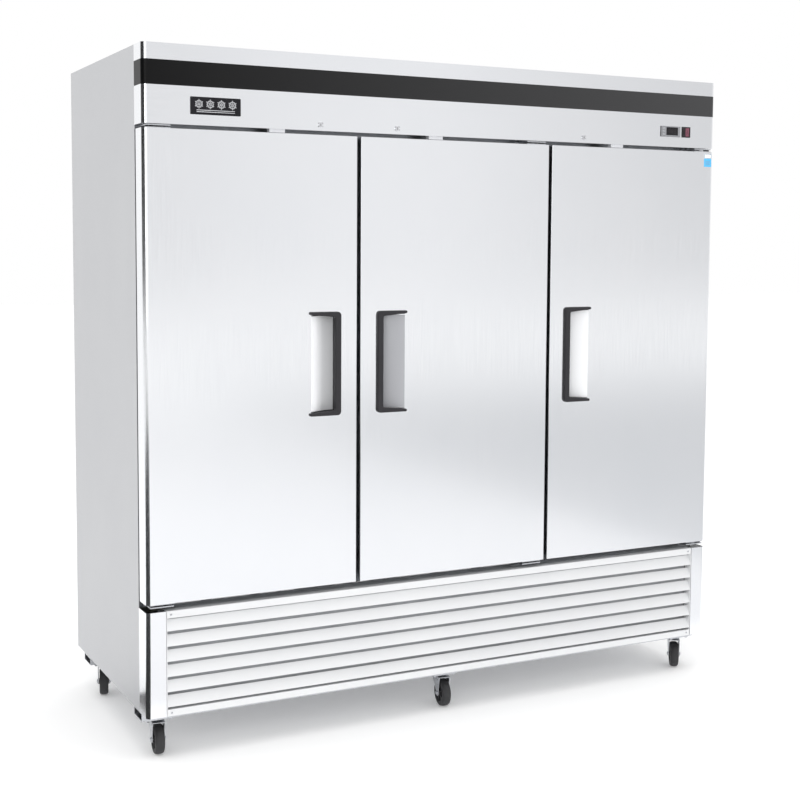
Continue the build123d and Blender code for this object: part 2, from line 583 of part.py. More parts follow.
# =========================================================================== doors
DOOR_MID_Y = (FRONT_Y + DOOR_BACK) / 2
HANDLE_Z0 = DOOR_BOTTOM + HANDLE_BOTTOM
HANDLE_Z1 = HANDLE_Z0 + HANDLE_HEIGHT
SCOOP_Z0 = HANDLE_Z0 + SCOOP_END
SCOOP_Z1 = HANDLE_Z1 - SCOOP_END
SCOOP_U0 = HANDLE_FROM_EDGE + SCOOP_FROM_BAR
SCOOP_SLOPE = atan2(SCOOP_DEPTH, SCOOP_RAMP)
BUSH_BOTTOM = DOOR_BOTTOM - HINGE_PLATE
BUSH_TOP = DOOR_TOP + HINGE_PLATE
FOAM_HOLE = HINGE_BUSH_RADIUS + HINGE_BUSH_FIT


def scoop_section(door, wall):
    """Section of the finger scoop, seen from above, grown outwards by a wall's thickness."""
    sign = towards_hinge(door)
    tip = SCOOP_U0 + SCOOP_FLAT + SCOOP_RAMP + wall / sin(SCOOP_SLOPE)
    foot = tip - (SCOOP_DEPTH + wall) * SCOOP_RAMP / SCOOP_DEPTH
    deep = SCOOP_U0 - wall
    outline = ((deep, 0), (deep, SCOOP_DEPTH + wall), (foot, SCOOP_DEPTH + wall), (tip, 0))
    bend = door[1] + sign * foot
    with BuildSketch() as section:
        Polygon(*[(door[1] + sign * u, FRONT_Y + depth) for u, depth in outline], align=None)
        fillet(section.vertices().sort_by_distance((bend, FRONT_Y + SCOOP_DEPTH + wall))[0],
               SCOOP_BEND + wall)
    return section.sketch


def door_plan(door, inset, radius_change, y0, y1):
    """Outline of a door seen from above, its outer front corner rounder than the inner one."""
    x0, x1 = sorted((door[1], door[2]))
    with BuildSketch() as outline:
        with Locations(((x0 + x1) / 2, (y0 + y1) / 2)):
            Rectangle(x1 - x0 - 2 * inset, y1 - y0)
        for index, edge in ((0, x0), (-1, x1)):
            front = outline.vertices().group_by(Axis.Y)[0].sort_by(Axis.X)
            radius = CORNER_RADIUS if abs(edge) == HALF else EDGE_RADIUS
            fillet(front[index], radius + radius_change)
    return outline.sketch


for door in DOORS:
    name = door[0]
    sign = towards_hinge(door)
    left, right = sorted((door[1], door[2]))
    pin_x = pivot_x(door)
    lock = lock_x(door)

    # Steel pan: face, four returns and a flange round the back, with the scoop pressed in.
    with BuildPart() as door_skin:
        with BuildSketch(Plane.XY.offset(DOOR_BOTTOM)):
            add(door_plan(door, 0, 0, FRONT_Y, DOOR_BACK))
        extrude(amount=DOOR_TOP - DOOR_BOTTOM)
        with BuildSketch(Plane.XY.offset(DOOR_BOTTOM + SHEET)):
            add(door_plan(door, SHEET, -SHEET, FRONT_Y + SHEET, DOOR_BACK - SHEET))
        extrude(amount=DOOR_TOP - DOOR_BOTTOM - 2 * SHEET, mode=Mode.SUBTRACT)
        slab(left + FLANGE_WIDTH, right - FLANGE_WIDTH, DOOR_BACK - SHEET, DOOR_BACK,
             DOOR_BOTTOM + FLANGE_WIDTH, DOOR_TOP - FLANGE_WIDTH, Mode.SUBTRACT)
        with BuildSketch(Plane.XY.offset(SCOOP_Z0 - SHEET)):
            add(scoop_section(door, SHEET))
        extrude(amount=SCOOP_Z1 - SCOOP_Z0 + 2 * SHEET)
        with BuildSketch(Plane.XY.offset(SCOOP_Z0)):
            add(scoop_section(door, 0))
        extrude(amount=SCOOP_Z1 - SCOOP_Z0, mode=Mode.SUBTRACT)
        for z in (DOOR_BOTTOM, DOOR_TOP - SHEET):
            rod_z(pin_x, PIVOT_Y, z, z + SHEET, FOAM_HOLE, Mode.SUBTRACT)
        slab(lock - CAM_SIDE, lock + CAM_REACH, CAM_FRONT - CAM_FIT, CAM_BACK + CAM_FIT,
             DOOR_TOP - SHEET, DOOR_TOP, Mode.SUBTRACT)
    write(door_skin.part, f"door_skin_{name}")

    # Foam core with the raised liner on its back, in one piece.
    with BuildPart() as door_inner:
        with BuildSketch(Plane.XY.offset(DOOR_BOTTOM + SHEET)):
            add(door_plan(door, SHEET, FOAM_RADIUS_EXTRA, FRONT_Y + SHEET, DOOR_BACK - SHEET))
        extrude(amount=DOOR_TOP - DOOR_BOTTOM - 2 * SHEET)
        slab(left + FLANGE_WIDTH, right - FLANGE_WIDTH, DOOR_BACK - SHEET, DOOR_BACK + LINER_RISE,
             DOOR_BOTTOM + FLANGE_WIDTH, DOOR_TOP - FLANGE_WIDTH)
        with BuildSketch(Plane.XY.offset(SCOOP_Z0 - SHEET)):
            add(scoop_section(door, SHEET))
        extrude(amount=SCOOP_Z1 - SCOOP_Z0 + 2 * SHEET, mode=Mode.SUBTRACT)
        rod_z(pin_x, PIVOT_Y, DOOR_BOTTOM, BUSH_BOTTOM + HINGE_BUSH_LENGTH + PIN_SHORT,
              FOAM_HOLE, Mode.SUBTRACT)
        rod_z(pin_x, PIVOT_Y, BUSH_TOP - HINGE_BUSH_LENGTH - PIN_SHORT, DOOR_TOP,
              FOAM_HOLE, Mode.SUBTRACT)
        slab(lock - CAM_SIDE, lock + CAM_REACH, CAM_FRONT - CAM_FIT, CAM_BACK + CAM_FIT,
             LOCK_Z - CAM_REACH - CAM_FIT, DOOR_TOP, Mode.SUBTRACT)
    write(door_inner.part, f"door_inner_panel_{name}")

    with BuildPart() as gasket:
        slab(left + GASKET_INSET, right - GASKET_INSET, DOOR_BACK, CABINET_Y - GASKET_GAP,
             DOOR_BOTTOM + GASKET_INSET, DOOR_TOP - GASKET_INSET)
        inner = GASKET_INSET + GASKET_WIDTH
        slab(left + inner, right - inner, DOOR_BACK, CABINET_Y - GASKET_GAP,
             DOOR_BOTTOM + inner, DOOR_TOP - inner, Mode.SUBTRACT)
    write(gasket.part, f"door_gasket_{name}")

    # Handle: a C of black plastic on the face, lined down into the scoop behind it.
    bar_out = door[1] + sign * HANDLE_FROM_EDGE
    bar_in = bar_out + sign * HANDLE_BAR
    tip = bar_out + sign * HANDLE_WIDTH
    with BuildPart() as handle:
        with BuildSketch(Plane.XZ.offset(-FRONT_Y)) as frame:
            Polygon(
                (bar_out, HANDLE_Z0),
                (tip, HANDLE_Z0),
                (tip, HANDLE_Z0 + HANDLE_ARM[1]),
                (bar_in, HANDLE_Z0 + HANDLE_ARM[0]),
                (bar_in, HANDLE_Z1 - HANDLE_ARM[0]),
                (tip, HANDLE_Z1 - HANDLE_ARM[1]),
                (tip, HANDLE_Z1),
                (bar_out, HANDLE_Z1),
                align=None,
            )
            ends = frame.vertices().group_by(Axis.X)
            outer, tips = (ends[0], ends[-1]) if sign > 0 else (ends[-1], ends[0])
            fillet(outer, HANDLE_CORNER)
            fillet(tips, HANDLE_TIP_RADIUS)
        extrude(amount=HANDLE_PROUD)
        chamfer(handle.faces().sort_by(Axis.Y)[0].edges(), HANDLE_SOFTEN)
        for z in (SCOOP_Z0, SCOOP_Z1 - HANDLE_WALL):
            with BuildSketch(Plane.XY.offset(z)):
                add(scoop_section(door, 0))
            extrude(amount=HANDLE_WALL)
        deep = door[1] + sign * SCOOP_U0
        slab(deep, deep + sign * HANDLE_WALL, FRONT_Y, FRONT_Y + SCOOP_DEPTH, SCOOP_Z0, SCOOP_Z1)
        slab(deep, bar_in, FRONT_Y, FRONT_Y + HANDLE_LIP, SCOOP_Z0, SCOOP_Z1)
    write(handle.part, f"door_handle_{name}")

    # Door half of the hinges: a plate and a bush at each end of the hinge edge.
    plate_x = sorted((door[2] - sign * HINGE_SPAN[0], door[2] - sign * HINGE_SPAN[1]))
    with BuildPart() as hinge_plates:
        for face, tail, bush in (
            (DOOR_BOTTOM, BUSH_BOTTOM, BUSH_BOTTOM + HINGE_BUSH_LENGTH),
            (DOOR_TOP, BUSH_TOP, BUSH_TOP - HINGE_BUSH_LENGTH),
        ):
            slab(plate_x[0], plate_x[1], FRONT_Y + HINGE_SETBACK,
                 FRONT_Y + HINGE_SETBACK + DOOR_PLATE_DEPTH, face, tail)
            rod_z(pin_x, PIVOT_Y, tail, bush, HINGE_BUSH_RADIUS)
            rod_z(pin_x, PIVOT_Y, tail, bush, HINGE_PIN_RADIUS + RUNNING_FIT, Mode.SUBTRACT)
    write(hinge_plates.part, f"door_hinge_plates_{name}")

# Cabinet half of the hinges: a bracket on the face frame with an upright pin and a washer.
with BuildPart() as hinge_brackets:
    for door in DOORS:
        sign = towards_hinge(door)
        pin_x = pivot_x(door)
        x0, x1 = sorted((door[2] - sign * HINGE_SPAN[0], door[2] - sign * HINGE_SPAN[1]))
        for up, bush, washer in ((1, BUSH_BOTTOM, BOTTOM_WASHER), (-1, BUSH_TOP, TOP_WASHER)):
            washer_end = bush - up * WASHER_GAP
            plate = washer_end - up * washer
            back = plate - up * BRACKET_PLATE
            pin_end = bush + up * (HINGE_BUSH_LENGTH - PIN_SHORT)
            slab(x0, x1, FRONT_Y + HINGE_SETBACK, CABINET_Y, back, plate)
            rod_z(pin_x, PIVOT_Y, plate, washer_end, WASHER_RADIUS)
            rod_z(pin_x, PIVOT_Y, washer_end, pin_end, HINGE_PIN_RADIUS)
            flange = (back, GRILLE_TOP + 1) if up > 0 else (back, back - BRACKET_DROP)
            slab(x0, x1, CABINET_Y - BRACKET_FLANGE, CABINET_Y, *flange)
write(hinge_brackets.part, "hinge_brackets")

# =========================================================================== lower front
with BuildPart() as corner_posts:
    for side in (-1, 1):
        middle = side * (HALF - POST_WIDTH / 2)
        for inset, mode in ((0, Mode.ADD), (SHEET, Mode.SUBTRACT)):
            with BuildSketch(Plane.XY.offset(BODY_BOTTOM)) as post:
                with Locations((middle, HEADER_MID_Y + inset / 2)):
                    Rectangle(POST_WIDTH - 2 * inset, FRONT_ZONE - inset)
                corners = post.vertices().group_by(Axis.Y)[0].sort_by(Axis.X)
                fillet(corners[-1 if side > 0 else 0], CORNER_RADIUS - inset)
            extrude(amount=GRILLE_HEIGHT, mode=mode)
write(corner_posts.part, "corner_posts")

# Grille: rails above and below, sloping louvres between, all carried by two end plates.
GRILLE_END = HALF - POST_WIDTH - GRILLE_GAP
with BuildPart() as front_grille:
    for z0, z1 in (
        (GRILLE_TOP - GRILLE_TOP_RAIL, GRILLE_TOP),
        (BODY_BOTTOM, BODY_BOTTOM + GRILLE_BOTTOM_RAIL),
    ):
        slab(-GRILLE_END, GRILLE_END, FRONT_Y, FRONT_Y + GRILLE_RAIL_DEPTH, z0, z1)
    for side in (-1, 1):
        slab(side * GRILLE_END, side * (GRILLE_END - GRILLE_END_PLATE), FRONT_Y,
             FRONT_Y + GRILLE_RAIL_DEPTH, BODY_BOTTOM, GRILLE_TOP)
    thick = LOUVRE_SHEET / cos(atan2(LOUVRE_RISE, LOUVRE_RUN))
    for step in range(LOUVRE_COUNT):
        lip = BODY_BOTTOM + LOUVRE_FIRST + step * LOUVRE_PITCH
        crest = lip + LOUVRE_LIP
        with BuildSketch(Plane.YZ.offset(-GRILLE_END)):
            Polygon(
                (FRONT_Y, lip),
                (FRONT_Y, crest),
                (FRONT_Y + LOUVRE_RUN, crest + LOUVRE_RISE),
                (FRONT_Y + LOUVRE_RUN, crest + LOUVRE_RISE - thick),
                (FRONT_Y + LOUVRE_SHEET, crest + LOUVRE_SHEET * LOUVRE_RISE / LOUVRE_RUN - thick),
                (FRONT_Y + LOUVRE_SHEET, lip),
                align=None,
            )
        extrude(amount=2 * GRILLE_END)
write(front_grille.part, "front_grille")

# =========================================================================== base and casters
CASTER_ROWS = (
    ("front", CABINET_Y + FRONT_CASTER_SET, FRONT_YAW),
    ("rear", BACK_Y - REAR_CASTER_SET, REAR_YAW),
)
CASTERS = [
    (f"{row}_{column}", x, y, yaw)
    for row, y, yaws in CASTER_ROWS
    for column, x, yaw in zip(("left", "middle", "right"), (-CASTER_X, 0.0, CASTER_X), yaws)
]

with BuildPart() as base_frame:
    slab(-FOAM_OUT, FOAM_OUT, CABINET_Y, FOAM_BACK_OUT, BODY_BOTTOM, BODY_BOTTOM + DECK_SHEET)
    for row, middle, yaws in CASTER_ROWS:
        slab(-HALF, HALF, middle - CHANNEL_WIDTH / 2, middle + CHANNEL_WIDTH / 2,
             CASTER_HEIGHT, BODY_BOTTOM)
        slab(-HALF, HALF, middle - CHANNEL_WIDTH / 2 + CHANNEL_SHEET,
             middle + CHANNEL_WIDTH / 2 - CHANNEL_SHEET,
             CASTER_HEIGHT + CHANNEL_SHEET, BODY_BOTTOM - CHANNEL_SHEET, Mode.SUBTRACT)
write(base_frame.part, "base_frame")

PLATE_BOTTOM = CASTER_HEIGHT - CASTER_PLATE[2]
RACE_BOTTOM = PLATE_BOTTOM - RACE_HEIGHT
FORK_TOP = RACE_BOTTOM - SWIVEL_GAP
FORK_UNDER = FORK_TOP - FORK_SHEET
NUT_TOP = FORK_UNDER - SWIVEL_GAP
NUT_BOTTOM = NUT_TOP - KINGPIN_NUT[1]
with BuildPart() as caster_plates:
    for name, x, y, yaw in CASTERS:
        slab(x - CASTER_PLATE[0] / 2, x + CASTER_PLATE[0] / 2,
             y - CASTER_PLATE[1] / 2, y + CASTER_PLATE[1] / 2, PLATE_BOTTOM, CASTER_HEIGHT)
        rod_z(x, y, RACE_BOTTOM, PLATE_BOTTOM, RACE_RADIUS)
        rod_z(x, y, NUT_TOP, RACE_BOTTOM, KINGPIN_RADIUS)
        rod_z(x, y, NUT_BOTTOM, NUT_TOP, KINGPIN_NUT[0])
write(caster_plates.part, "caster_plates")

FORK_HALF = FORK_INNER / 2 + FORK_SHEET
for name, x, y, yaw in CASTERS:
    turned = Plane(
        origin=(x, y, 0),
        x_dir=(cos(radians(yaw)), -sin(radians(yaw)), 0),
        z_dir=(0, 0, 1),
    )
    with BuildPart(turned) as caster_fork:
        slab(-FORK_HALF, FORK_HALF, -TRAIL - FORK_FRONT, FORK_FRONT, FORK_UNDER, FORK_TOP)
        rod_z(0, 0, FORK_UNDER, FORK_TOP, RACE_RADIUS + FORK_SHEET)
        for side in (-1, 1):
            with BuildSketch(Plane(turned.from_local_coords((side * FORK_HALF, 0, 0)),
                                   x_dir=turned.y_dir, z_dir=turned.x_dir)):
                Polygon(
                    (-TRAIL - FORK_FRONT, FORK_UNDER),
                    (FORK_FRONT, FORK_UNDER),
                    (FORK_FOOT - TRAIL, WHEEL_RADIUS),
                    (-FORK_FOOT - TRAIL, WHEEL_RADIUS),
                    align=None,
                )
                with Locations((-TRAIL, WHEEL_RADIUS)):
                    Circle(FORK_FOOT)
            extrude(amount=-side * FORK_SHEET)
        rod_x(-TRAIL, WHEEL_RADIUS, -FORK_HALF - AXLE_HEAD[1], FORK_HALF + AXLE_HEAD[1],
              AXLE_RADIUS)
        for side in (-1, 1):
            rod_x(-TRAIL, WHEEL_RADIUS, side * FORK_HALF, side * (FORK_HALF + AXLE_HEAD[1]),
                  AXLE_HEAD[0])
        rod_z(0, 0, FORK_UNDER, FORK_TOP, KINGPIN_RADIUS + RUNNING_FIT, Mode.SUBTRACT)
    write(caster_fork.part, f"caster_fork_{name}")

    with BuildPart(turned) as caster_wheel:
        rod_x(-TRAIL, WHEEL_RADIUS, -WHEEL_WIDTH / 2, WHEEL_WIDTH / 2, WHEEL_RADIUS)
        rims = caster_wheel.edges().filter_by(GeomType.CIRCLE)
        fillet(rims, WHEEL_SHOULDER)
        for side in (-1, 1):
            rod_x(-TRAIL, WHEEL_RADIUS, side * (WHEEL_WIDTH / 2 - WHEEL_DISH[1]),
                  side * WHEEL_WIDTH / 2, WHEEL_DISH[0], Mode.SUBTRACT)
        hub = FORK_INNER / 2 - HUB_GAP
        rod_x(-TRAIL, WHEEL_RADIUS, -hub, hub, HUB_RADIUS)
        rod_x(-TRAIL, WHEEL_RADIUS, -hub, hub, AXLE_RADIUS + RUNNING_FIT, Mode.SUBTRACT)
    write(caster_wheel.part, f"caster_wheel_{name}")

# =========================================================================== cold room
BAYS = (
    (-LINER_X, -MULLION_X),
    (-MULLION_X, MULLION_X),
    (MULLION_X, LINER_X),
)
SHELF_Y = (FRAME_BACK + SHELF_FRONT, LINER_BACK - SHELF_BACK)
with BuildPart() as shelves:
    for x0, x1 in BAYS:
        left, right = x0 + SHELF_SIDE, x1 - SHELF_SIDE
        front, back = SHELF_Y
        for level in SHELF_LEVELS:
            top = level + SHELF_THICK
            slab(left, right, front, front + SHELF_BAR, level, top)
            slab(left, right, back - SHELF_BAR, back, level, top)
            with Locations(((left + right) / 2, (front + back) / 2, level + SHELF_THICK / 2)):
                with GridLocations((right - left - SHELF_BAR) / (SHELF_SLATS - 1), 1,
                                   SHELF_SLATS, 1):
                    Box(SHELF_BAR, back - front, SHELF_THICK)
write(shelves.part, "shelves")

# Upright strips at the corners of each bay, with a clip under each shelf corner.
with BuildPart() as shelf_supports:
    for x0, x1 in BAYS:
        for edge, inward in ((x0, 1), (x1, -1)):
            for y in (SHELF_Y[0] + SUPPORT_INSET, SHELF_Y[1] - SUPPORT_INSET):
                wall = edge if abs(edge) == LINER_X else edge + inward * PANEL_FIT
                slab(wall, wall + inward * SUPPORT_THICK, y - SUPPORT_WIDTH / 2,
                     y + SUPPORT_WIDTH / 2, LINER_FLOOR, OPENING_TOP)
                for level in SHELF_LEVELS:
                    slab(wall, wall + inward * (SHELF_SIDE + CLIP_REACH), y - SUPPORT_WIDTH / 2,
                         y + SUPPORT_WIDTH / 2, level - CLIP_HEIGHT, level)
write(shelf_supports.part, "shelf_supports")

with BuildPart() as interior_lights:
    for x0, x1 in BAYS:
        middle = (x0 + x1) / 2
        slab(middle - LIGHT_SIZE[0] / 2, middle + LIGHT_SIZE[0] / 2, FRAME_BACK + SHELF_FRONT,
             FRAME_BACK + SHELF_FRONT + LIGHT_SIZE[1], OPENING_TOP - LIGHT_SIZE[2], OPENING_TOP)
write(interior_lights.part, "interior_lights")

# Evaporator: a cover under the ceiling, open above, with a fan hole over each outer bay.
COVER_Y0 = FRAME_BACK + BOX_FRONT_WALL + PANEL_FIT
COVER_Y1 = LINER_BACK - EVAPORATOR_BEHIND
COVER_Z0 = LINER_CEILING - EVAPORATOR_HEIGHT
FAN_Y = COVER_Y0 + EVAPORATOR_FAN_Y
FAN_HOLE = EVAPORATOR_FAN_RADIUS + FAN_HOLE_EXTRA
COIL_FRONT = FAN_Y + MOTOR_RADIUS + COIL_FROM_MOTOR
COIL_BACK = COVER_Y1 - SHEET - SHELF_BACK
COIL_DEPTH = COIL_BACK - COIL_FRONT
with BuildPart() as evaporator_cover:
    slab(-EVAPORATOR_HALF, EVAPORATOR_HALF, COVER_Y0, COVER_Y1, COVER_Z0, LINER_CEILING)
    slab(SHEET - EVAPORATOR_HALF, EVAPORATOR_HALF - SHEET, COVER_Y0 + SHEET, COVER_Y1 - SHEET,
         COVER_Z0 + SHEET, LINER_CEILING, Mode.SUBTRACT)
    for side in (-1, 1):
        x = side * EVAPORATOR_FAN_X
        rod_z(x, FAN_Y, COVER_Z0, COVER_Z0 + SHEET, FAN_HOLE, Mode.SUBTRACT)
        for width, depth in ((2 * FAN_HOLE + 2, FAN_GUARD_BAR), (FAN_GUARD_BAR, 2 * FAN_HOLE + 2)):
            slab(x - width / 2, x + width / 2, FAN_Y - depth / 2, FAN_Y + depth / 2,
                 COVER_Z0, COVER_Z0 + SHEET)
write(evaporator_cover.part, "evaporator_cover")

FAN_BOTTOM = COVER_Z0 + SHEET + MOTOR_GAP
FAN_TOP = FAN_BOTTOM + FAN_HUB_HEIGHT
MOTOR_BOTTOM = FAN_TOP + MOTOR_GAP
with BuildPart() as evaporator_coil:
    coil_y = (COIL_FRONT + COIL_BACK) / 2
    coil_z = LINER_CEILING - COIL_SIZE[1] / 2 - 1
    with Locations((0, coil_y, coil_z)):
        Box(COIL_SIZE[0], *COIL_CORE)
        with GridLocations(COIL_SIZE[0] / COIL_FINS, 1, COIL_FINS, 1):
            Box(COIL_FIN, COIL_DEPTH, COIL_SIZE[1])
    for side in (-1, 1):
        x = side * EVAPORATOR_FAN_X
        rod_z(x, FAN_Y, MOTOR_BOTTOM, MOTOR_BOTTOM + MOTOR_HEIGHT, MOTOR_RADIUS)
        rod_z(x, FAN_Y, FAN_BOTTOM, MOTOR_BOTTOM, FAN_SHAFT_RADIUS)
        slab(x - MOTOR_RADIUS / 2, x + MOTOR_RADIUS / 2, FAN_Y - MOTOR_RADIUS / 2,
             FAN_Y + MOTOR_RADIUS / 2, MOTOR_BOTTOM + MOTOR_HEIGHT, LINER_CEILING - 1)
write(evaporator_coil.part, "evaporator_coil")


def fan_rotor(place, radius, height):
    """A fan that turns about the local Z of a plane: bored hub and pitched blades."""
    with BuildPart(place) as rotor:
        reach = radius - FAN_HUB_RADIUS + 4
        with Locations((0, 0, height / 2)):
            with PolarLocations(FAN_HUB_RADIUS - 4 + reach / 2, FAN_BLADES):
                Box(reach, FAN_BLADE[0], FAN_BLADE[1], rotation=(FAN_PITCH, 0, 0))
        rod_z(0, 0, 0, height, FAN_HUB_RADIUS)
        rod_z(0, 0, 0, height, FAN_SHAFT_RADIUS + RUNNING_FIT, Mode.SUBTRACT)
    return rotor.part


for side, name in ((-1, "left"), (1, "right")):
    place = Plane((side * EVAPORATOR_FAN_X, FAN_Y, FAN_BOTTOM))
    write(fan_rotor(place, EVAPORATOR_FAN_RADIUS, FAN_HUB_HEIGHT), f"evaporator_fan_{name}")

# =========================================================================== cooling machine
TRAY_BOTTOM = BODY_BOTTOM + DECK_SHEET
TRAY_TOP = TRAY_BOTTOM + UNIT_TRAY[1]
TRAY_Y = (CABINET_Y + FOAM_BACK_OUT) / 2
CONDENSER_Z = TRAY_TOP + CONDENSER_SIZE[2] / 2
SHROUD_Y = CONDENSER_AT[1] + CONDENSER_SIZE[1] / 2 + SLAB_GAP
SHROUD_BACK = SHROUD_Y + SHROUD_DEPTH
MACHINE_FAN_Y = SHROUD_BACK + MOTOR_GAP
MACHINE_MOTOR_Y = MACHINE_FAN_Y + FAN_HUB_HEIGHT + MOTOR_GAP
with BuildPart() as condensing_unit:
    slab(-UNIT_TRAY[0] / 2, UNIT_TRAY[0] / 2, TRAY_Y - TRAY_DEPTH / 2, TRAY_Y + TRAY_DEPTH / 2,
         TRAY_BOTTOM, TRAY_TOP)
    slab(SHEET - UNIT_TRAY[0] / 2, UNIT_TRAY[0] / 2 - SHEET, TRAY_Y - TRAY_DEPTH / 2 + SHEET,
         TRAY_Y + TRAY_DEPTH / 2 - SHEET, TRAY_BOTTOM + SHEET, TRAY_TOP, Mode.SUBTRACT)
    floor = TRAY_BOTTOM + SHEET + SLAB_GAP
    rod_z(*COMPRESSOR_AT, floor, floor + COMPRESSOR_HEIGHT, COMPRESSOR_RADIUS)
    domes = condensing_unit.faces().filter_by(Axis.Z).sort_by(Axis.Z)[-1].edges()
    fillet(domes, COMPRESSOR_DOME)
    with Locations((CONDENSER_AT[0], CONDENSER_AT[1], CONDENSER_Z)):
        Box(CONDENSER_SIZE[0], *CONDENSER_CORE)
        with GridLocations(CONDENSER_SIZE[0] / CONDENSER_FINS, 1, CONDENSER_FINS, 1):
            Box(COIL_FIN, CONDENSER_SIZE[1], CONDENSER_SIZE[2])
    slab(CONDENSER_AT[0] - CONDENSER_SIZE[0] / 2, CONDENSER_AT[0] + CONDENSER_SIZE[0] / 2,
         SHROUD_Y, SHROUD_BACK, floor, TRAY_TOP + CONDENSER_SIZE[2])
    slab(CONDENSER_AT[0] - CONDENSER_SIZE[0] / 2 + SHEET,
         CONDENSER_AT[0] + CONDENSER_SIZE[0] / 2 - SHEET,
         SHROUD_Y, SHROUD_BACK - SHEET, TRAY_TOP, TRAY_TOP + CONDENSER_SIZE[2] - SHEET,
         Mode.SUBTRACT)
    rod_y(CONDENSER_AT[0], CONDENSER_Z, SHROUD_Y, SHROUD_BACK,
          CONDENSER_FAN_RADIUS + FAN_HOLE_EXTRA, Mode.SUBTRACT)
    rod_y(CONDENSER_AT[0], CONDENSER_Z, MACHINE_MOTOR_Y, MACHINE_MOTOR_Y + MOTOR_HEIGHT,
          MOTOR_RADIUS)
    rod_y(CONDENSER_AT[0], CONDENSER_Z, MACHINE_FAN_Y, MACHINE_MOTOR_Y, FAN_SHAFT_RADIUS)
    slab(CONDENSER_AT[0] - MOTOR_RADIUS / 2, CONDENSER_AT[0] + MOTOR_RADIUS / 2,
         MACHINE_MOTOR_Y + MOTOR_RADIUS / 2, MACHINE_MOTOR_Y + MOTOR_HEIGHT, floor, CONDENSER_Z)
    slab(STARTER_AT[0] - STARTER_BOX[0] / 2, STARTER_AT[0] + STARTER_BOX[0] / 2,
         STARTER_AT[1] - STARTER_BOX[1] / 2, STARTER_AT[1] + STARTER_BOX[1] / 2,
         floor, floor + STARTER_BOX[2])
    rod_z(*RECEIVER_AT, floor, floor + RECEIVER[1], RECEIVER[0])
    # The gland that the power cord would come through.
    rod_y(*GLAND_AT, BACK_Y - GLAND[2], BACK_Y - SHEET, GLAND[1])
    rod_y(*GLAND_AT, BACK_Y - GLAND[2] - SHEET, BACK_Y, GLAND[0] - PANEL_FIT)
write(condensing_unit.part, "condensing_unit")

place = Plane((CONDENSER_AT[0], MACHINE_FAN_Y, CONDENSER_Z), x_dir=(1, 0, 0), z_dir=(0, 1, 0))
write(fan_rotor(place, CONDENSER_FAN_RADIUS, FAN_HUB_HEIGHT), "condenser_fan")
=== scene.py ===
"""Finishes and fine pieces of a three-door reach-in refrigerator, built around its fixed frame.

Lengths are metres in the frame's own axes: +X to the right as one faces the doors, +Y to the
back and +Z up. A class stands for each sub-assembly, and a Finish for each surface.
"""
import json
import logging
import math
from dataclasses import dataclass, field
from enum import Enum

import bmesh
import bpy
from mathutils import Matrix, Vector


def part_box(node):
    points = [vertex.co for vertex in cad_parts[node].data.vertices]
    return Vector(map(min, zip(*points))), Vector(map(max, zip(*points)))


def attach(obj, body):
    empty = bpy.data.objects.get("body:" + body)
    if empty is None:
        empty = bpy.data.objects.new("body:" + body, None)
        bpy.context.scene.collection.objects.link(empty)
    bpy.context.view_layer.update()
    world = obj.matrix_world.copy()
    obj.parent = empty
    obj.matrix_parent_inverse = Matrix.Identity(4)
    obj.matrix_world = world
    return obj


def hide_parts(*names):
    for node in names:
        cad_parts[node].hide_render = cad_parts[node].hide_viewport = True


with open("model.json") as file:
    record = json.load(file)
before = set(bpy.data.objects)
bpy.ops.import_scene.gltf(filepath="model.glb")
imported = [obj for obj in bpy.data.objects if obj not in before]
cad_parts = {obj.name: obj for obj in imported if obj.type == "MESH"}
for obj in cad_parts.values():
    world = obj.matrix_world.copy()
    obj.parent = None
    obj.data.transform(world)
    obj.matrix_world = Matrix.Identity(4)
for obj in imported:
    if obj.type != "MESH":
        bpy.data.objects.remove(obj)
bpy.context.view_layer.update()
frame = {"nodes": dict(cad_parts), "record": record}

LOG = logging.getLogger("refrigerator")
MM = 0.001
Point = tuple[float, float, float]
DOOR_NAMES = ("left", "middle", "right")
CASTER_NAMES = tuple(f"{row}_{side}" for row in ("front", "rear") for side in DOOR_NAMES)
JOINTS = {joint["name"]: joint for joint in frame["record"]["behaviour"]["joints"]}
# Sizes of the solids that the machine's fine pieces are fitted to.
COMPRESSOR_SIZE: Point = (0.176, 0.176, 0.176)
CONDENSER_SIZE: Point = (0.408, 0.070, 0.236)
RECEIVER_SIZE: Point = (0.060, 0.060, 0.200)
GLAND_SIZE: Point = (0.032, 0.019, 0.032)


# ------------------------------------------------------------------------------ finishes
class Grain(Enum):
    """How a surface was worked, which sets its fine pattern."""

    PLAIN = "plain"
    BRUSHED_UPRIGHT = "brushed_upright"
    BRUSHED_LEVEL = "brushed_level"
    PEEL = "peel"
    MOULDED = "moulded"
    MOTTLED = "mottled"
    STUCCO = "stucco"


def linear(code: str) -> tuple[float, float, float, float]:
    """Turns an sRGB hex colour into the linear colour that shaders take.

    Args:
        code: Six hex digits with a leading hash.

    Returns:
        Red, green, blue and an alpha of 1.
    """
    parts = [int(code[i : i + 2], 16) / 255 for i in (1, 3, 5)]
    red, green, blue = (c / 12.92 if c <= 0.04045 else ((c + 0.055) / 1.055) ** 2.4 for c in parts)
    return (red, green, blue, 1.0)


def add_node(
    tree: bpy.types.NodeTree,
    kind: str,
    values: dict[str | int, object] | None = None,
    links: dict[str | int, bpy.types.NodeSocket] | None = None,
    **settings: object,
) -> bpy.types.Node:
    """Adds one shader node with its settings, socket values and links.

    Args:
        tree: The node tree to add to.
        kind: The node's type name.
        values: Default values by input socket.
        links: Source sockets by input socket.
        **settings: Attributes of the node itself.

    Returns:
        The new node.
    """
    made = tree.nodes.new(kind)
    for key, value in settings.items():
        setattr(made, key, value)
    for key, value in (values or {}).items():
        made.inputs[key].default_value = value
    for key, source in (links or {}).items():
        tree.links.new(source, made.inputs[key])
    return made


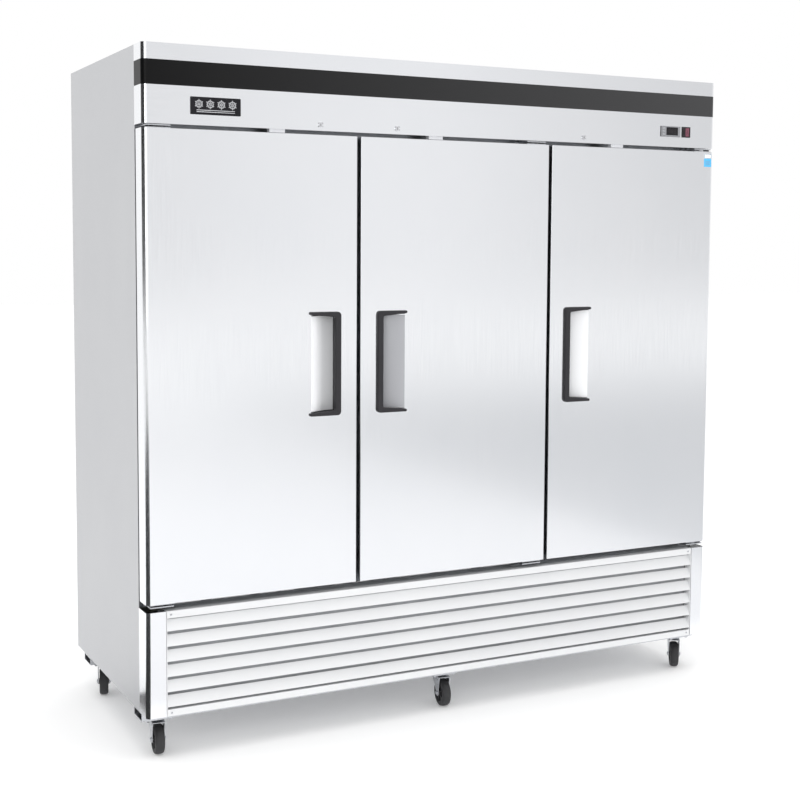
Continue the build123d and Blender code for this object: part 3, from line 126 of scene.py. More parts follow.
@dataclass(frozen=True)
class Finish:
    """One real surface: what it is made of, how it was worked, and its wear.

    Attributes:
        name: Plain name of the finish.
        colour: sRGB hex colour.
        roughness: Middle roughness of the surface.
        metallic: 1 for bare metal, 0 for anything else.
        grain: How the surface was worked.
        pitch_mm: Size of one mark of the grain, in millimetres.
        relief_mm: Depth of the grain, in millimetres.
        spread: How far roughness wanders either side of its middle.
        tint: Second colour of slow variation, the same as colour for none.
        tint_mm: Size of that slow variation, in millimetres.
        coat: Weight of a clear gloss coat.
        glow: Strength of emitted light, for lenses.
        ior: Index of refraction of a surface that isn't metal.
        fade_x: Metres of width over which colour runs to tint, 0 for cloudy variation instead.
    """

    name: str
    colour: str
    roughness: float
    metallic: float = 0.0
    grain: Grain = Grain.PLAIN
    pitch_mm: float = 1.0
    relief_mm: float = 0.0
    spread: float = 0.0
    tint: str = ""
    tint_mm: float = 200.0
    coat: float = 0.0
    glow: float = 0.0
    ior: float = 1.5
    fade_x: float = 0.0

    def stretch(self) -> Point:
        """How much longer a mark of the grain is along each axis than it is wide."""
        table = {
            Grain.BRUSHED_UPRIGHT: (1.0, 1.0, 0.012),
            Grain.BRUSHED_LEVEL: (0.012, 1.0, 1.0),
        }
        return table.get(self.grain, (1.0, 1.0, 1.0))

    def material(self) -> bpy.types.Material:
        """Builds the material once, and gives the same one back after that."""
        known = bpy.data.materials.get(self.name)
        if known is not None:
            return known
        made = bpy.data.materials.new(self.name)
        made.use_nodes = True
        tree = made.node_tree
        shader = tree.nodes["Principled BSDF"]
        constants = {
            "Base Color": linear(self.colour),
            "Metallic": self.metallic,
            "Roughness": self.roughness,
            "IOR": self.ior,
            "Coat Weight": self.coat,
            "Coat Roughness": 0.08,
        }
        if self.glow:
            constants |= {"Emission Color": linear(self.colour), "Emission Strength": self.glow}
        for socket, value in constants.items():
            shader.inputs[socket].default_value = value
        place = add_node(tree, "ShaderNodeTexCoord").outputs["Object"]
        self.vary_colour(tree, shader, place)
        self.work_surface(tree, shader, place)
        made.diffuse_color = linear(self.colour)
        return made

    def vary_colour(
        self, tree: bpy.types.NodeTree, shader: bpy.types.Node, place: bpy.types.NodeSocket
    ) -> None:
        """Runs the base colour slowly towards the tint, in clouds or along the width."""
        if not self.tint:
            return
        # Along the width the colour runs lighter towards one side, a painted sheen.
        if self.fade_x:
            split = add_node(tree, "ShaderNodeSeparateXYZ", links={0: place})
            share = add_node(
                tree,
                "ShaderNodeMapRange",
                {"From Min": -self.fade_x / 2, "From Max": self.fade_x / 2},
                {"Value": split.outputs["X"]},
            ).outputs["Result"]
        else:
            share = add_node(
                tree,
                "ShaderNodeTexNoise",
                {"Scale": 1 / (self.tint_mm * MM), "Detail": 3.0, "Roughness": 0.55},
                {"Vector": place},
            ).outputs["Fac"]
        mix = add_node(
            tree,
            "ShaderNodeMix",
            {6: linear(self.colour), 7: linear(self.tint)},
            {0: share},
            data_type="RGBA",
        )
        tree.links.new(mix.outputs[2], shader.inputs["Base Color"])

    def work_surface(
        self, tree: bpy.types.NodeTree, shader: bpy.types.Node, place: bpy.types.NodeSocket
    ) -> None:
        """Adds the grain's wandering roughness and its relief."""
        if self.grain is Grain.PLAIN:
            return
        scaled = add_node(
            tree,
            "ShaderNodeMapping",
            {"Scale": tuple(s / (self.pitch_mm * MM) for s in self.stretch())},
            {"Vector": place},
        ).outputs["Vector"]
        if self.grain is Grain.STUCCO:
            marks = add_node(
                tree, "ShaderNodeTexVoronoi", {"Scale": 1.0}, {"Vector": scaled},
                feature="SMOOTH_F1",
            ).outputs["Distance"]
        else:
            marks = add_node(
                tree,
                "ShaderNodeTexNoise",
                {"Scale": 1.0, "Detail": 4.0, "Roughness": 0.6},
                {"Vector": scaled},
            ).outputs["Fac"]
        if self.spread:
            rough = add_node(
                tree,
                "ShaderNodeMapRange",
                {
                    "From Min": 0.25,
                    "From Max": 0.75,
                    "To Min": max(self.roughness - self.spread, 0.02),
                    "To Max": min(self.roughness + self.spread, 1.0),
                },
                {"Value": marks},
            )
            tree.links.new(rough.outputs["Result"], shader.inputs["Roughness"])
        if self.relief_mm:
            bump = add_node(
                tree,
                "ShaderNodeBump",
                {"Strength": 1.0, "Distance": self.relief_mm * MM},
                {"Height": marks},
            )
            tree.links.new(bump.outputs["Normal"], shader.inputs["Normal"])


# Stainless sheet, polished with a belt along its length: long fine scratches, soft reflections.
# The scratches are drawn about four times as coarse as the real ones, so that they show.
DOOR_STEEL = Finish(
    "brushed_stainless_upright", "#f2f3f5", 0.17, 1.0, Grain.BRUSHED_UPRIGHT,
    pitch_mm=1.6, relief_mm=0.007, spread=0.05, tint="#eceef1", tint_mm=420,
)
HEADER_STEEL = Finish(
    "brushed_stainless_level", "#f1f2f4", 0.17, 1.0, Grain.BRUSHED_LEVEL,
    pitch_mm=1.6, relief_mm=0.007, spread=0.05, tint="#eaecef", tint_mm=420,
)
# The grille and the scoops are bead-rolled and pickled: satin, so that they catch light evenly.
GRILLE_STEEL = Finish(
    "pickled_grille_steel", "#eceded", 0.42, 0.30, Grain.BRUSHED_LEVEL,
    pitch_mm=1.6, relief_mm=0.008, spread=0.05, tint="#e2e3e5", tint_mm=420,
)
SCOOP_STEEL = Finish(
    "pressed_scoop_steel", "#f1f2f4", 0.34, 0.15, Grain.BRUSHED_UPRIGHT,
    pitch_mm=1.4, relief_mm=0.008, spread=0.05,
)
# The middle scoop is the same sheet as the others, painted a darker grey as painted shade, since it
# is lit less.
SCOOP_STEEL_DULL = Finish(
    "rubbed_scoop_steel", "#aeafb3", 0.34, 0.40, Grain.BRUSHED_UPRIGHT,
    pitch_mm=1.4, relief_mm=0.008, spread=0.05,
)
# The sill over the grille is the same sheet, painted greyer than the doors as painted shade of its
# recess.
SILL_STEEL = Finish(
    "wiped_sill_steel", "#d5d6d8", 0.38, 0.7, Grain.BRUSHED_LEVEL,
    pitch_mm=1.6, relief_mm=0.008, spread=0.06,
)
# Washable filter of flattened plastic fibre, three millimetres thick.
FILTER_MAT = Finish(
    "grey_fibre_filter_mat", "#c3c5c8", 0.8, 0.0, Grain.MOTTLED, pitch_mm=2.5, relief_mm=0.4,
    spread=0.08, tint="#aeb0b3", tint_mm=60,
)
# Galvanised sheet with a clear matt lacquer: even pale grey, hardly any reflection.
CABINET_SHEET = Finish(
    "lacquered_galvanised_sheet", "#c6c7c9", 0.46, 0.35, Grain.PEEL,
    pitch_mm=3.0, relief_mm=0.012, spread=0.05, tint="#c0c1c4", tint_mm=300,
)
# Steel face behind the doors: the same sheet, darkened to mid grey as painted shade for the gaps
# round the doors.
FACE_STEEL = Finish(
    "face_frame_steel", "#84868a", 0.36, 0.8, Grain.BRUSHED_LEVEL,
    pitch_mm=1.6, relief_mm=0.008, spread=0.05,
)
# Vinyl band, black and satin, with a painted sheen: its colour runs greyer to the right.
BAND_VINYL = Finish(
    "black_vinyl_band", "#060607", 0.36, 0.0, Grain.PEEL,
    pitch_mm=2.0, relief_mm=0.004, spread=0.03, tint="#424243", fade_x=2.1, ior=1.25,
)
# Glass-filled nylon moulding with a spark-eroded grain: satin black, greyer on worn ridges.
HANDLE_NYLON = Finish(
    "moulded_black_nylon", "#29282b", 0.48, 0.0, Grain.MOULDED,
    pitch_mm=1.1, relief_mm=0.020, spread=0.07, tint="#313033", tint_mm=60, ior=1.35,
)
# Injection-moulded ABS with a spark-eroded grain: mid grey, low even sheen.
CONTROLLER_ABS = Finish(
    "moulded_grey_abs", "#8b8c90", 0.42, 0.0, Grain.MOULDED, pitch_mm=0.9, relief_mm=0.012,
    spread=0.05,
)
# The same moulding in near-black, a little glossier where it is rounded.
DARK_ABS = Finish(
    "moulded_dark_abs", "#1d1c1f", 0.36, 0.0, Grain.MOULDED, pitch_mm=0.9, relief_mm=0.012,
    spread=0.05,
)
# Moulded silicone key cap: pale grey, almost without shine.
KEY_RUBBER = Finish(
    "pale_key_cap", "#a3a5a9", 0.5, 0.0, Grain.MOULDED, pitch_mm=0.8, relief_mm=0.008, spread=0.05,
)
# Smoked acrylic window, moulded flat: near-black with one soft reflection.
DISPLAY_LENS = Finish(
    "smoked_display_lens", "#17161a", 0.16, 0.0, Grain.MOTTLED, 8.0, 0.004, 0.03, ior=1.35
)
# Unlit figures behind the window: one flat tone, only a shade lighter than the smoke.
SEGMENT_LENS = Finish("unlit_display_segment", "#2b272b", 0.35)
# Left half of the red rocker, same glossy moulding, painted near-black purple as painted shade
# where the tilted rocker turns from the light.
ROCKER_BLACK = Finish("rocker_black_abs", "#241a20", 0.32, 0.0, Grain.MOULDED, 0.8, 0.008, 0.04)
# Translucent red polycarbonate, unlit: dull red that deepens in patches.
ROCKER_RED = Finish("rocker_red_lens", "#7e4456", 0.25, coat=0.3, tint="#6c3546", tint_mm=12)
# Baked enamel on a thin plate: black with a faint orange peel.
BADGE_BLACK = Finish(
    "badge_black_enamel", "#17161b", 0.30, 0.0, Grain.PEEL, 1.5, 0.003, 0.04, ior=1.3
)
# Diamond-cut aluminium of the badge's marks: bright lines with fine level scratches.
BADGE_SILVER = Finish(
    "badge_polished_aluminium", "#d6d7da", 0.24, 1.0, Grain.BRUSHED_LEVEL, 0.8, 0.004, 0.05
)
# Polished chrome plate of the locks: mirrors the room, with slight haze in patches.
CHROME = Finish("polished_chrome", "#d9dadd", 0.10, 1.0, Grain.MOTTLED, 14.0, 0.0, 0.04)
# Brass deep in the keyway: one flat brown-black, since it lies in shadow.
KEYWAY_DARK = Finish("keyway_shadow_brass", "#3a352b", 0.5, 0.8)
# Zinc-plated and passivated steel: pale, faintly mottled, satin.
ZINC = Finish(
    "passivated_zinc_plate", "#c9cbd0", 0.30, 1.0, Grain.MOTTLED, pitch_mm=9.0, relief_mm=0.010,
    spread=0.10, tint="#bdbfc2", tint_mm=25,
)
# Polyurethane tyre: dull black with the dust of a kitchen floor in its tread.
WHEEL_RUBBER = Finish(
    "black_polyurethane_tyre", "#232325", 0.55, 0.0, Grain.MOULDED, pitch_mm=2.2, relief_mm=0.06,
    spread=0.12, tint="#2f2f31", tint_mm=18,
)
# Moulded nylon centre of a wheel: black, a little shinier than the tyre.
WHEEL_CORE = Finish(
    "black_nylon_wheel_core", "#1b1b1d", 0.40, 0.0, Grain.MOULDED, 1.4, 0.02, 0.06
)
# Moulded pale ABS of the door switches and the lights' end caps.
SWITCH_GREY = Finish("pale_grey_switch_abs", "#d5d6da", 0.40, 0.0, Grain.MOULDED, 1.0, 0.01, 0.05)
# Soft extruded PVC with a ribbed bellows: dark grey, low sheen.
GASKET_PVC = Finish(
    "grey_gasket_pvc", "#4a4b4f", 0.52, 0.0, Grain.MOULDED, 1.6, 0.02, 0.08, "#55565a", 80,
)
# Vacuum-formed ABS door back: white, with the soft waviness of a drawn sheet.
LINER_ABS = Finish(
    "white_vacuum_formed_abs", "#e4e6e8", 0.34, 0.0, Grain.PEEL, 4.0, 0.02, 0.05, "#dcdee1", 250,
)
# Rigid polyurethane foam with cut cells: cream and chalky, darker where it is older.
FOAM = Finish(
    "cream_polyurethane_foam", "#d9cfae", 0.85, 0.0, Grain.MOTTLED, 5.0, 0.35, 0.08, "#c9bd97", 40,
)
# Embossed aluminium sheet: a field of shallow pebbles about six millimetres across.
LINER_ALUMINIUM = Finish(
    "stucco_aluminium", "#cfd1d4", 0.33, 1.0, Grain.STUCCO, pitch_mm=6.0, relief_mm=0.25,
    spread=0.04,
)
# Epoxy-dipped wire: white and smooth, with a thick clear-looking skin.
SHELF_EPOXY = Finish(
    "white_epoxy_coated_wire", "#e9eaea", 0.30, 0.0, Grain.PEEL, 5.0, 0.05, 0.06, "#dfe0e0", 60,
    coat=0.3,
)
# Stainless strip brushed along its length: satin, with upright scratches.
SUPPORT_STEEL = Finish(
    "slotted_strip_steel", "#c4c6ca", 0.30, 1.0, Grain.BRUSHED_UPRIGHT, 1.4, 0.010, 0.05
)
# Inside of a strip's slots: one flat dark tone, since no light gets in.
SLOT_DARK = Finish("slot_shadow", "#2b2c2e", 0.8)
# Powder-coated sheet: white with a fine orange peel and a low sheen.
COVER_WHITE = Finish(
    "white_powder_coat", "#e2e3e4", 0.42, 0.0, Grain.PEEL, 2.5, 0.03, 0.05, "#d9dadb", 200,
)
# Bare rolled aluminium foil of the fins: pale, satin and slightly uneven.
FIN_ALUMINIUM = Finish(
    "raw_fin_aluminium", "#c2c5c8", 0.40, 1.0, Grain.BRUSHED_UPRIGHT, 1.2, 0.010, 0.08
)
# Drawn copper tube, browned in patches by heat and air.
COPPER = Finish(
    "drawn_copper_tube", "#c07a55", 0.28, 1.0, Grain.MOTTLED, 12.0, 0.010, 0.12, "#94593c", 35,
)
# Glass-filled polymer of the fan blades: black, with a faint moulded grain.
FAN_BLACK = Finish("black_fan_polymer", "#1e1f21", 0.45, 0.0, Grain.MOULDED, 1.3, 0.015, 0.06)
# Oven-cured enamel over pressed steel: black, glossy, with orange peel.
MACHINE_BLACK = Finish(
    "black_oven_enamel", "#17181a", 0.32, 0.0, Grain.PEEL, 3.0, 0.05, 0.07, "#222325", 90, coat=0.2,
)
# Frosted polycarbonate tube: one flat warm white that glows a little.
LIGHT_LENS = Finish("frosted_light_lens", "#f4f4ee", 0.45, glow=0.15)
# Printed vinyl film: white, with a slight ripple from being smoothed down.
STICKER_WHITE = Finish("sticker_white_vinyl", "#f6f8fa", 0.32, 0.0, Grain.PEEL, 2.0, 0.004, 0.03)
# The same film printed sky blue, a little deeper in patches.
STICKER_BLUE = Finish(
    "sticker_sky_blue_vinyl", "#62c2f3", 0.32, 0.0, Grain.PEEL, 2.0, 0.004, 0.03, "#4aaee6", 14,
)
# Thin printed rules of the sticker: one flat grey-blue ink.
STICKER_LINE = Finish("sticker_grey_line", "#7d93a3", 0.4)
# Matt paper sweep under the cabinet, lit from behind so that it stays near white.
STUDIO_FLOOR = Finish("pale_studio_floor", "#f7f7f7", 0.9, glow=0.17)


# ------------------------------------------------------------------------------ mesh tools
def corners(node: str) -> tuple[Vector, Vector]:
    """Lowest and highest corner of a frame node."""
    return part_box(node)


def islands(node: str) -> list[tuple[Vector, Vector]]:
    """Boxes of a frame node's separate solids, in order of x, then y, then z."""
    mesh = bmesh.new()
    mesh.from_mesh(frame["nodes"][node].data)
    bmesh.ops.remove_doubles(mesh, verts=mesh.verts, dist=1e-5)
    waiting, boxes = set(mesh.verts), []
    while waiting:
        front = [waiting.pop()]
        spots = [front[0].co]
        while front:
            vert = front.pop()
            for edge in vert.link_edges:
                other = edge.other_vert(vert)
                if other in waiting:
                    waiting.discard(other)
                    front.append(other)
                    spots.append(other.co)
        boxes.append((
            Vector([min(p[i] for p in spots) for i in range(3)]),
            Vector([max(p[i] for p in spots) for i in range(3)]),
        ))
    mesh.free()
    return sorted(boxes, key=lambda box: tuple(round(c, 4) for c in box[0]))


def block(
    mesh: bmesh.types.BMesh, low: Point, high: Point, bevel: float = 0.0, segments: int = 2
) -> None:
    """Adds a box between two corners, with its edges rounded.

    Args:
        mesh: The mesh to add to.
        low: Lowest corner.
        high: Highest corner.
        bevel: Radius of the rounded edges, 0 for none.
        segments: Steps in each rounding.
    """
    size = [b - a for a, b in zip(low, high)]
    place = Matrix.Translation([(a + b) / 2 for a, b in zip(low, high)])
    made = bmesh.ops.create_cube(mesh, size=1.0, matrix=place @ Matrix.Diagonal((*size, 1.0)))
    if bevel:
        edges = list({edge for vert in made["verts"] for edge in vert.link_edges})
        bmesh.ops.bevel(
            mesh, geom=edges, offset=bevel, segments=segments, profile=0.5, affect="EDGES",
            material=-1,
        )


def rod(
    mesh: bmesh.types.BMesh,
    start: Point,
    end: Point,
    radius: float,
    sides: int = 24,
    tip: float | None = None,
) -> None:
    """Adds a round bar between two points.

    Args:
        mesh: The mesh to add to.
        start: Centre of one end.
        end: Centre of the other end.
        radius: Radius at the start.
        sides: Faces round the bar.
        tip: Radius at the end, the same as at the start if left out.
    """
    run = Vector(end) - Vector(start)
    turn = run.to_track_quat("Z", "Y").to_matrix().to_4x4()
    place = Matrix.Translation((Vector(start) + Vector(end)) / 2) @ turn
    bmesh.ops.create_cone(
        mesh, cap_ends=True, cap_tris=False, segments=sides, radius1=radius,
        radius2=radius if tip is None else tip, depth=run.length, matrix=place,
    )


def lathe(
    mesh: bmesh.types.BMesh,
    profile: list[tuple[float, float]],
    centre: Point,
    axis: Point,
    steps: int = 48,
) -> None:
    """Turns a closed profile of (radius, height) points about an axis.

    Args:
        mesh: The mesh to add to.
        profile: Points of the closed outline, none of them on the axis.
        centre: Where height 0 lies on the axis.
        axis: Direction of growing height.
        steps: Steps round the turn.
    """
    turn = Vector(axis).to_track_quat("Z", "Y")
    across = turn @ Vector((1, 0, 0))
    along = turn @ Vector((0, 0, 1))
    verts = [mesh.verts.new(Vector(centre) + across * r + along * h) for r, h in profile]
    edges = [mesh.edges.new((a, b)) for a, b in zip(verts, verts[1:] + verts[:1])]
    before = set(mesh.faces)
    bmesh.ops.spin(
        mesh, geom=verts + edges, cent=centre, axis=along, dvec=(0, 0, 0), angle=2 * math.pi,
        steps=steps, use_merge=True, use_duplicate=False,
    )
    bmesh.ops.recalc_face_normals(mesh, faces=[f for f in mesh.faces if f not in before])


def prism(
    mesh: bmesh.types.BMesh, outline: list[Point], sweep: Point
) -> list[bmesh.types.BMFace]:
    """Adds a flat outline swept straight into a solid.

    Args:
        mesh: The mesh to add to.
        outline: Points of the flat outline, in order.
        sweep: How far and which way it is swept.

    Returns:
        The solid's faces.
    """
    before = set(mesh.faces)
    face = mesh.faces.new([mesh.verts.new(p) for p in outline])
    made = bmesh.ops.extrude_face_region(mesh, geom=[face], use_keep_orig=True)
    moved = [g for g in made["geom"] if isinstance(g, bmesh.types.BMVert)]
    bmesh.ops.translate(mesh, verts=moved, vec=sweep)
    faces = [f for f in mesh.faces if f not in before]
    bmesh.ops.recalc_face_normals(mesh, faces=faces)
    return faces


def mitred_ring(
    mesh: bmesh.types.BMesh,
    low: tuple[float, float],
    high: tuple[float, float],
    section: list[tuple[float, float]],
) -> None:
    """Carries a closed section round an upright rectangle, with mitred corners.

    Args:
        mesh: The mesh to add to.
        low: x and z of the rectangle's low corner.
        high: x and z of its high corner.
        section: Points of (inset from the rectangle, y), in order.
    """
    middle = ((low[0] + high[0]) / 2, (low[1] + high[1]) / 2)

    def settle(verts: list[bmesh.types.BMVert], inset: float, y: float) -> None:
        """Moves four corners to their places at one point of the section."""
        for vert in verts:
            x = high[0] - inset if vert.co.x > middle[0] else low[0] + inset
            z = high[1] - inset if vert.co.z > middle[1] else low[1] + inset
            vert.co = (x, y, z)

    frame_corners = ((low[0], low[1]), (high[0], low[1]), (high[0], high[1]), (low[0], high[1]))
    verts = [mesh.verts.new((x, section[0][1], z)) for x, z in frame_corners]
    ring = [mesh.edges.new(pair) for pair in zip(verts, verts[1:] + verts[:1])]
    settle(verts, *section[0])
    every = list(verts)
    for inset, y in section[1:] + section[:1]:
        made = bmesh.ops.extrude_edge_only(mesh, edges=ring)["geom"]
        verts = [g for g in made if isinstance(g, bmesh.types.BMVert)]
        edges = [g for g in made if isinstance(g, bmesh.types.BMEdge)]
        ring = [edge for edge in edges if all(vert in verts for vert in edge.verts)]
        settle(verts, inset, y)
        every += verts
    faces = list({f for v in every for f in v.link_faces})
    bmesh.ops.remove_doubles(mesh, verts=every, dist=1e-6)
    bmesh.ops.recalc_face_normals(mesh, faces=[f for f in faces if f.is_valid])


def pipe(mesh: bmesh.types.BMesh, path: list[Point], radius: float) -> None:
    """Adds a bent pipe along a smooth path.

    Args:
        mesh: The mesh to add to.
        path: Control points of the path, its first and last on its ends.
        radius: Radius of the pipe.
    """
    curve = bpy.data.curves.new("pipe_path", "CURVE")
    curve.dimensions = "3D"
    curve.bevel_depth, curve.bevel_resolution, curve.use_fill_caps = radius, 3, True
    spline = curve.splines.new("NURBS")
    spline.points.add(len(path) - 1)
    for point, spot in zip(spline.points, path):
        point.co = (*spot, 1.0)
    spline.order_u, spline.use_endpoint_u, spline.resolution_u = 3, True, 6
    holder = bpy.data.objects.new("pipe_path", curve)
    shape = bpy.data.meshes.new_from_object(holder)
    before = set(mesh.verts)
    mesh.from_mesh(shape)
    made = [v for v in mesh.verts if v not in before]
    bmesh.ops.remove_doubles(mesh, verts=made, dist=1e-6)
    bmesh.ops.recalc_face_normals(mesh, faces=[f for f in mesh.faces if f.verts[0] not in before])
    bpy.data.objects.remove(holder)
    bpy.data.curves.remove(curve)
    bpy.data.meshes.remove(shape)


def bend_returns(
    box: tuple[Vector, Vector],
    stand: float,
    shares: tuple[float, ...],
    levels: list[float],
    reach: float,
    radius: float,
) -> bmesh.types.BMesh:
    """Bends U-shaped tubes out of both ends of a coil.

    Args:
        box: Lowest and highest corner of the coil.
        stand: How far past the coil's ends the tubes start.
        shares: Where the tubes lie through the coil's depth, from 0 to 1.
        levels: Heights of the tubes, joined two and two.
        reach: How far a bend stands out.
        radius: Radius of the tubes.

    Returns:
        A new mesh with every bend.
    """
    low, high = box
    mesh = bmesh.new()
    for x, out in ((low.x - stand, -1), (high.x + stand, 1)):
        for share in shares:
            y = low.y + (high.y - low.y) * share
            for z0, z1 in zip(levels[::2], levels[1::2]):
                tip = x + out * reach
                pipe(mesh, [(x, y, z0), (tip, y, z0), (tip, y, z1), (x, y, z1)], radius)
    return mesh


def screw_head(mesh: bmesh.types.BMesh, at: Point, axis: Point, radius: float) -> None:
    """Adds a pan screw head with a crossed recess, standing out along an axis."""
    rise = radius * 0.55
    profile = [
        (radius * 0.02, 0.0), (radius, 0.0), (radius * 0.94, rise * 0.45),
        (radius * 0.70, rise * 0.85), (radius * 0.36, rise), (radius * 0.02, rise),
    ]
    lathe(mesh, profile, at, axis, 20)
    turn = Vector(axis).to_track_quat("Z", "Y").to_matrix().to_4x4()
    for quarter in (0.0, math.pi / 2):
        place = (
            Matrix.Translation(Vector(at) + Vector(axis) * rise)
            @ turn
            @ Matrix.Rotation(quarter, 4, "Z")
            @ Matrix.Diagonal((radius * 0.95, radius * 0.16, radius * 0.06, 1.0))
        )
        bmesh.ops.create_cube(mesh, size=1.0, matrix=place)


def piece(
    mesh: bmesh.types.BMesh,
    name: str,
    body: str,
    finishes: Finish | list[Finish],
    stands_for: tuple[str, ...] = (),
    crease: float = 35.0,
) -> bpy.types.Object:
    """Turns a finished mesh into a piece that rides on a body.

    Args:
        mesh: The mesh, which is freed.
        name: The piece's name.
        body: The frame body it rides on.
        finishes: Its finish, or one for each material index.
        stands_for: Frame nodes that it takes the place of.
        crease: Angle in degrees above which an edge stays sharp.

    Returns:
        The new object.
    """
    data = bpy.data.meshes.new(name)
    mesh.to_mesh(data)
    mesh.free()
    data.shade_smooth()
    data.set_sharp_from_angle(angle=math.radians(crease))
    for finish in finishes if isinstance(finishes, list) else [finishes]:
        data.materials.append(finish.material())
    made = bpy.data.objects.new(name, data)
    bpy.context.scene.collection.objects.link(made)
    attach(made, body)
    if stands_for:
        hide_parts(*stands_for)
    LOG.info("%s: %d faces on %s", name, len(data.polygons), body)
    return made


def dress(nodes: tuple[str, ...] | str, finish: Finish) -> None:
    """Gives frame nodes that keep their shape a finish."""
    for name in (nodes,) if isinstance(nodes, str) else nodes:
        target = frame["nodes"][name]
        target.data.materials.clear()
        target.data.materials.append(finish.material())
        LOG.info("%s: dressed in %s", name, finish.name)


# ------------------------------------------------------------------------------ studio
@dataclass
class Studio:
    """Camera, lights and floor.

    Attributes:
        eye: Where the camera stands.
        heading: Degrees that it looks to the right of straight back.
        tilt: Degrees that it looks up, below zero for down.
        roll: Degrees that it leans.
        lens: Focal length in millimetres on a 36 mm sensor.
        shift: Sideways and upward shift of the lens.
        wings: Brightness of the front of the studio, by sideways direction from -1 to 1.
    """

    eye: Point = (-2.1606, -4.1855, 1.5326)
    heading: float = 26.538
    tilt: float = -4.385
    roll: float = 0.26
    lens: float = 60.57
    shift: tuple[float, float] = (0.0240, -0.0637)
    wings: tuple[tuple[float, float], ...] = (
        (-1.0, 0.03), (-0.30, 0.04), (-0.20, 0.50), (-0.12, 1.0), (0.20, 1.12),
        (0.275, 0.76), (0.36, 0.92), (0.48, 0.96), (0.56, 0.84), (0.66, 0.74), (0.85, 0.80),
        (1.0, 1.0),
    )

    def set_camera(self) -> None:
        """Places the camera and makes it the scene's own."""
        data = bpy.data.cameras.new("studio_camera")
        data.lens, data.sensor_width = self.lens, 36.0
        data.shift_x, data.shift_y = self.shift
        data.clip_end = 60.0
        camera = bpy.data.objects.new("studio_camera", data)
        bpy.context.scene.collection.objects.link(camera)
        turn = Matrix.Rotation(math.radians(-self.heading), 4, "Z")
        lift = Matrix.Rotation(math.radians(90 + self.tilt), 4, "X")
        lean = Matrix.Rotation(math.radians(self.roll), 4, "Z")
        camera.matrix_world = Matrix.Translation(self.eye) @ turn @ lift @ lean
        bpy.context.scene.camera = camera

    def lay_floor(self) -> None:
        """Lays one wide pale floor."""
        mesh = bmesh.new()
        bmesh.ops.create_grid(mesh, x_segments=1, y_segments=1, size=30.0)
        data = bpy.data.meshes.new("studio_floor")
        mesh.to_mesh(data)
        mesh.free()
        data.materials.append(STUDIO_FLOOR.material())
        floor = bpy.data.objects.new("studio_floor", data)
        bpy.context.scene.collection.objects.link(floor)

    def hang_light(
        self, name: str, at: Point, aim: Point, size: tuple[float, float], power: float
    ) -> None:
        """Hangs a rectangular softbox.

        Args:
            name: The light's name.
            at: Where it hangs.
            aim: The point it faces.
            size: Its width and height.
            power: Its power in watts.
        """
        data = bpy.data.lights.new(name, "AREA")
        data.shape, data.size, data.size_y, data.energy = "RECTANGLE", size[0], size[1], power
        lamp = bpy.data.objects.new(name, data)
        bpy.context.scene.collection.objects.link(lamp)
        facing = (Vector(aim) - Vector(at)).to_track_quat("-Z", "Y")
        lamp.matrix_world = Matrix.Translation(at) @ facing.to_matrix().to_4x4()

    def lay_card(
        self, name: str, low: tuple[float, float], high: tuple[float, float], shade: str
    ) -> None:
        """Lays a card on the floor that only shows in reflections.

        Args:
            name: The card's name.
            low: x and y of its low corner.
            high: x and y of its high corner.
            shade: Its sRGB hex colour.
        """
        mesh = bmesh.new()
        block(mesh, (*low, 0.004), (*high, 0.006))
        data = bpy.data.meshes.new(name)
        mesh.to_mesh(data)
        mesh.free()
        data.materials.append(Finish(f"{name}_board", shade, 0.9).material())
        card = bpy.data.objects.new(name, data)
        card.visible_camera = card.visible_shadow = card.visible_diffuse = False
        bpy.context.scene.collection.objects.link(card)

    def paint_sky(self) -> None:
        """Paints the studio round the set: white all round, with a dark wing at the front left.

        Only mirrored light meets the shading, so that the steel shows soft bright and dark
        runs. The camera and the matt surfaces meet plain white in every direction.
        """
        world = bpy.data.worlds.new("studio_sky")
        bpy.context.scene.world = world
        world.use_nodes = True
        tree = world.node_tree
        way = add_node(tree, "ShaderNodeTexCoord").outputs["Generated"]
        split = add_node(tree, "ShaderNodeSeparateXYZ", links={0: way})
        share = add_node(
            tree, "ShaderNodeMapRange", {"From Min": -1.0, "From Max": 1.0},
            {"Value": split.outputs["X"]},
        ).outputs["Result"]
        ramp = add_node(tree, "ShaderNodeValToRGB", links={0: share})
        bands = ramp.color_ramp
        bands.interpolation = "EASE"
        for spot, level in self.wings:
            step = bands.elements.new((spot + 1) / 2)
            step.color = (level, level, level * 1.01, 1.0)
        bands.elements.remove(bands.elements[-1])
        bands.elements.remove(bands.elements[0])
        behind = add_node(
            tree, "ShaderNodeMapRange", {"From Min": 0.55, "From Max": 0.80},
            {"Value": split.outputs["Y"]},
        ).outputs["Result"]
        back = add_node(
            tree, "ShaderNodeMix", {7: (1.05, 1.05, 1.05, 1.0)},
            {0: behind, 6: ramp.outputs["Color"]}, data_type="RGBA", clamp_factor=True,
        ).outputs[2]
        mirrored = add_node(tree, "ShaderNodeLightPath").outputs["Is Glossy Ray"]
        colour = add_node(
            tree, "ShaderNodeMix", {6: (1.0, 1.0, 1.0, 1.0)}, {0: mirrored, 7: back},
            data_type="RGBA",
        ).outputs[2]
        tree.links.new(colour, tree.nodes["Background"].inputs["Color"])
        tree.nodes["Background"].inputs["Strength"].default_value = 1.0

    def build(self) -> None:
        """Sets up the whole studio."""
        self.set_camera()
        self.lay_floor()
        self.paint_sky()
        self.hang_light("overhead_softbox", (0.0, -0.6, 4.6), (0, 0, 0), (5.0, 4.0), 60)
        self.hang_light("front_softbox", (-3.2, -5.5, 2.6), (0, 0, 1.2), (2.6, 3.0), 60)
        self.lay_card("dark_card", (-7.0, -7.0), (-1.16, 0.2), "#161616")
        self.lay_card("pale_card", (-1.15, -8.0), (2.2, -0.9), "#f4f4f5")
        self.lay_card("grey_card", (2.2, -9.0), (12.0, -0.9), "#d6d7d9")
        bpy.context.scene.view_settings.view_transform = "Standard"


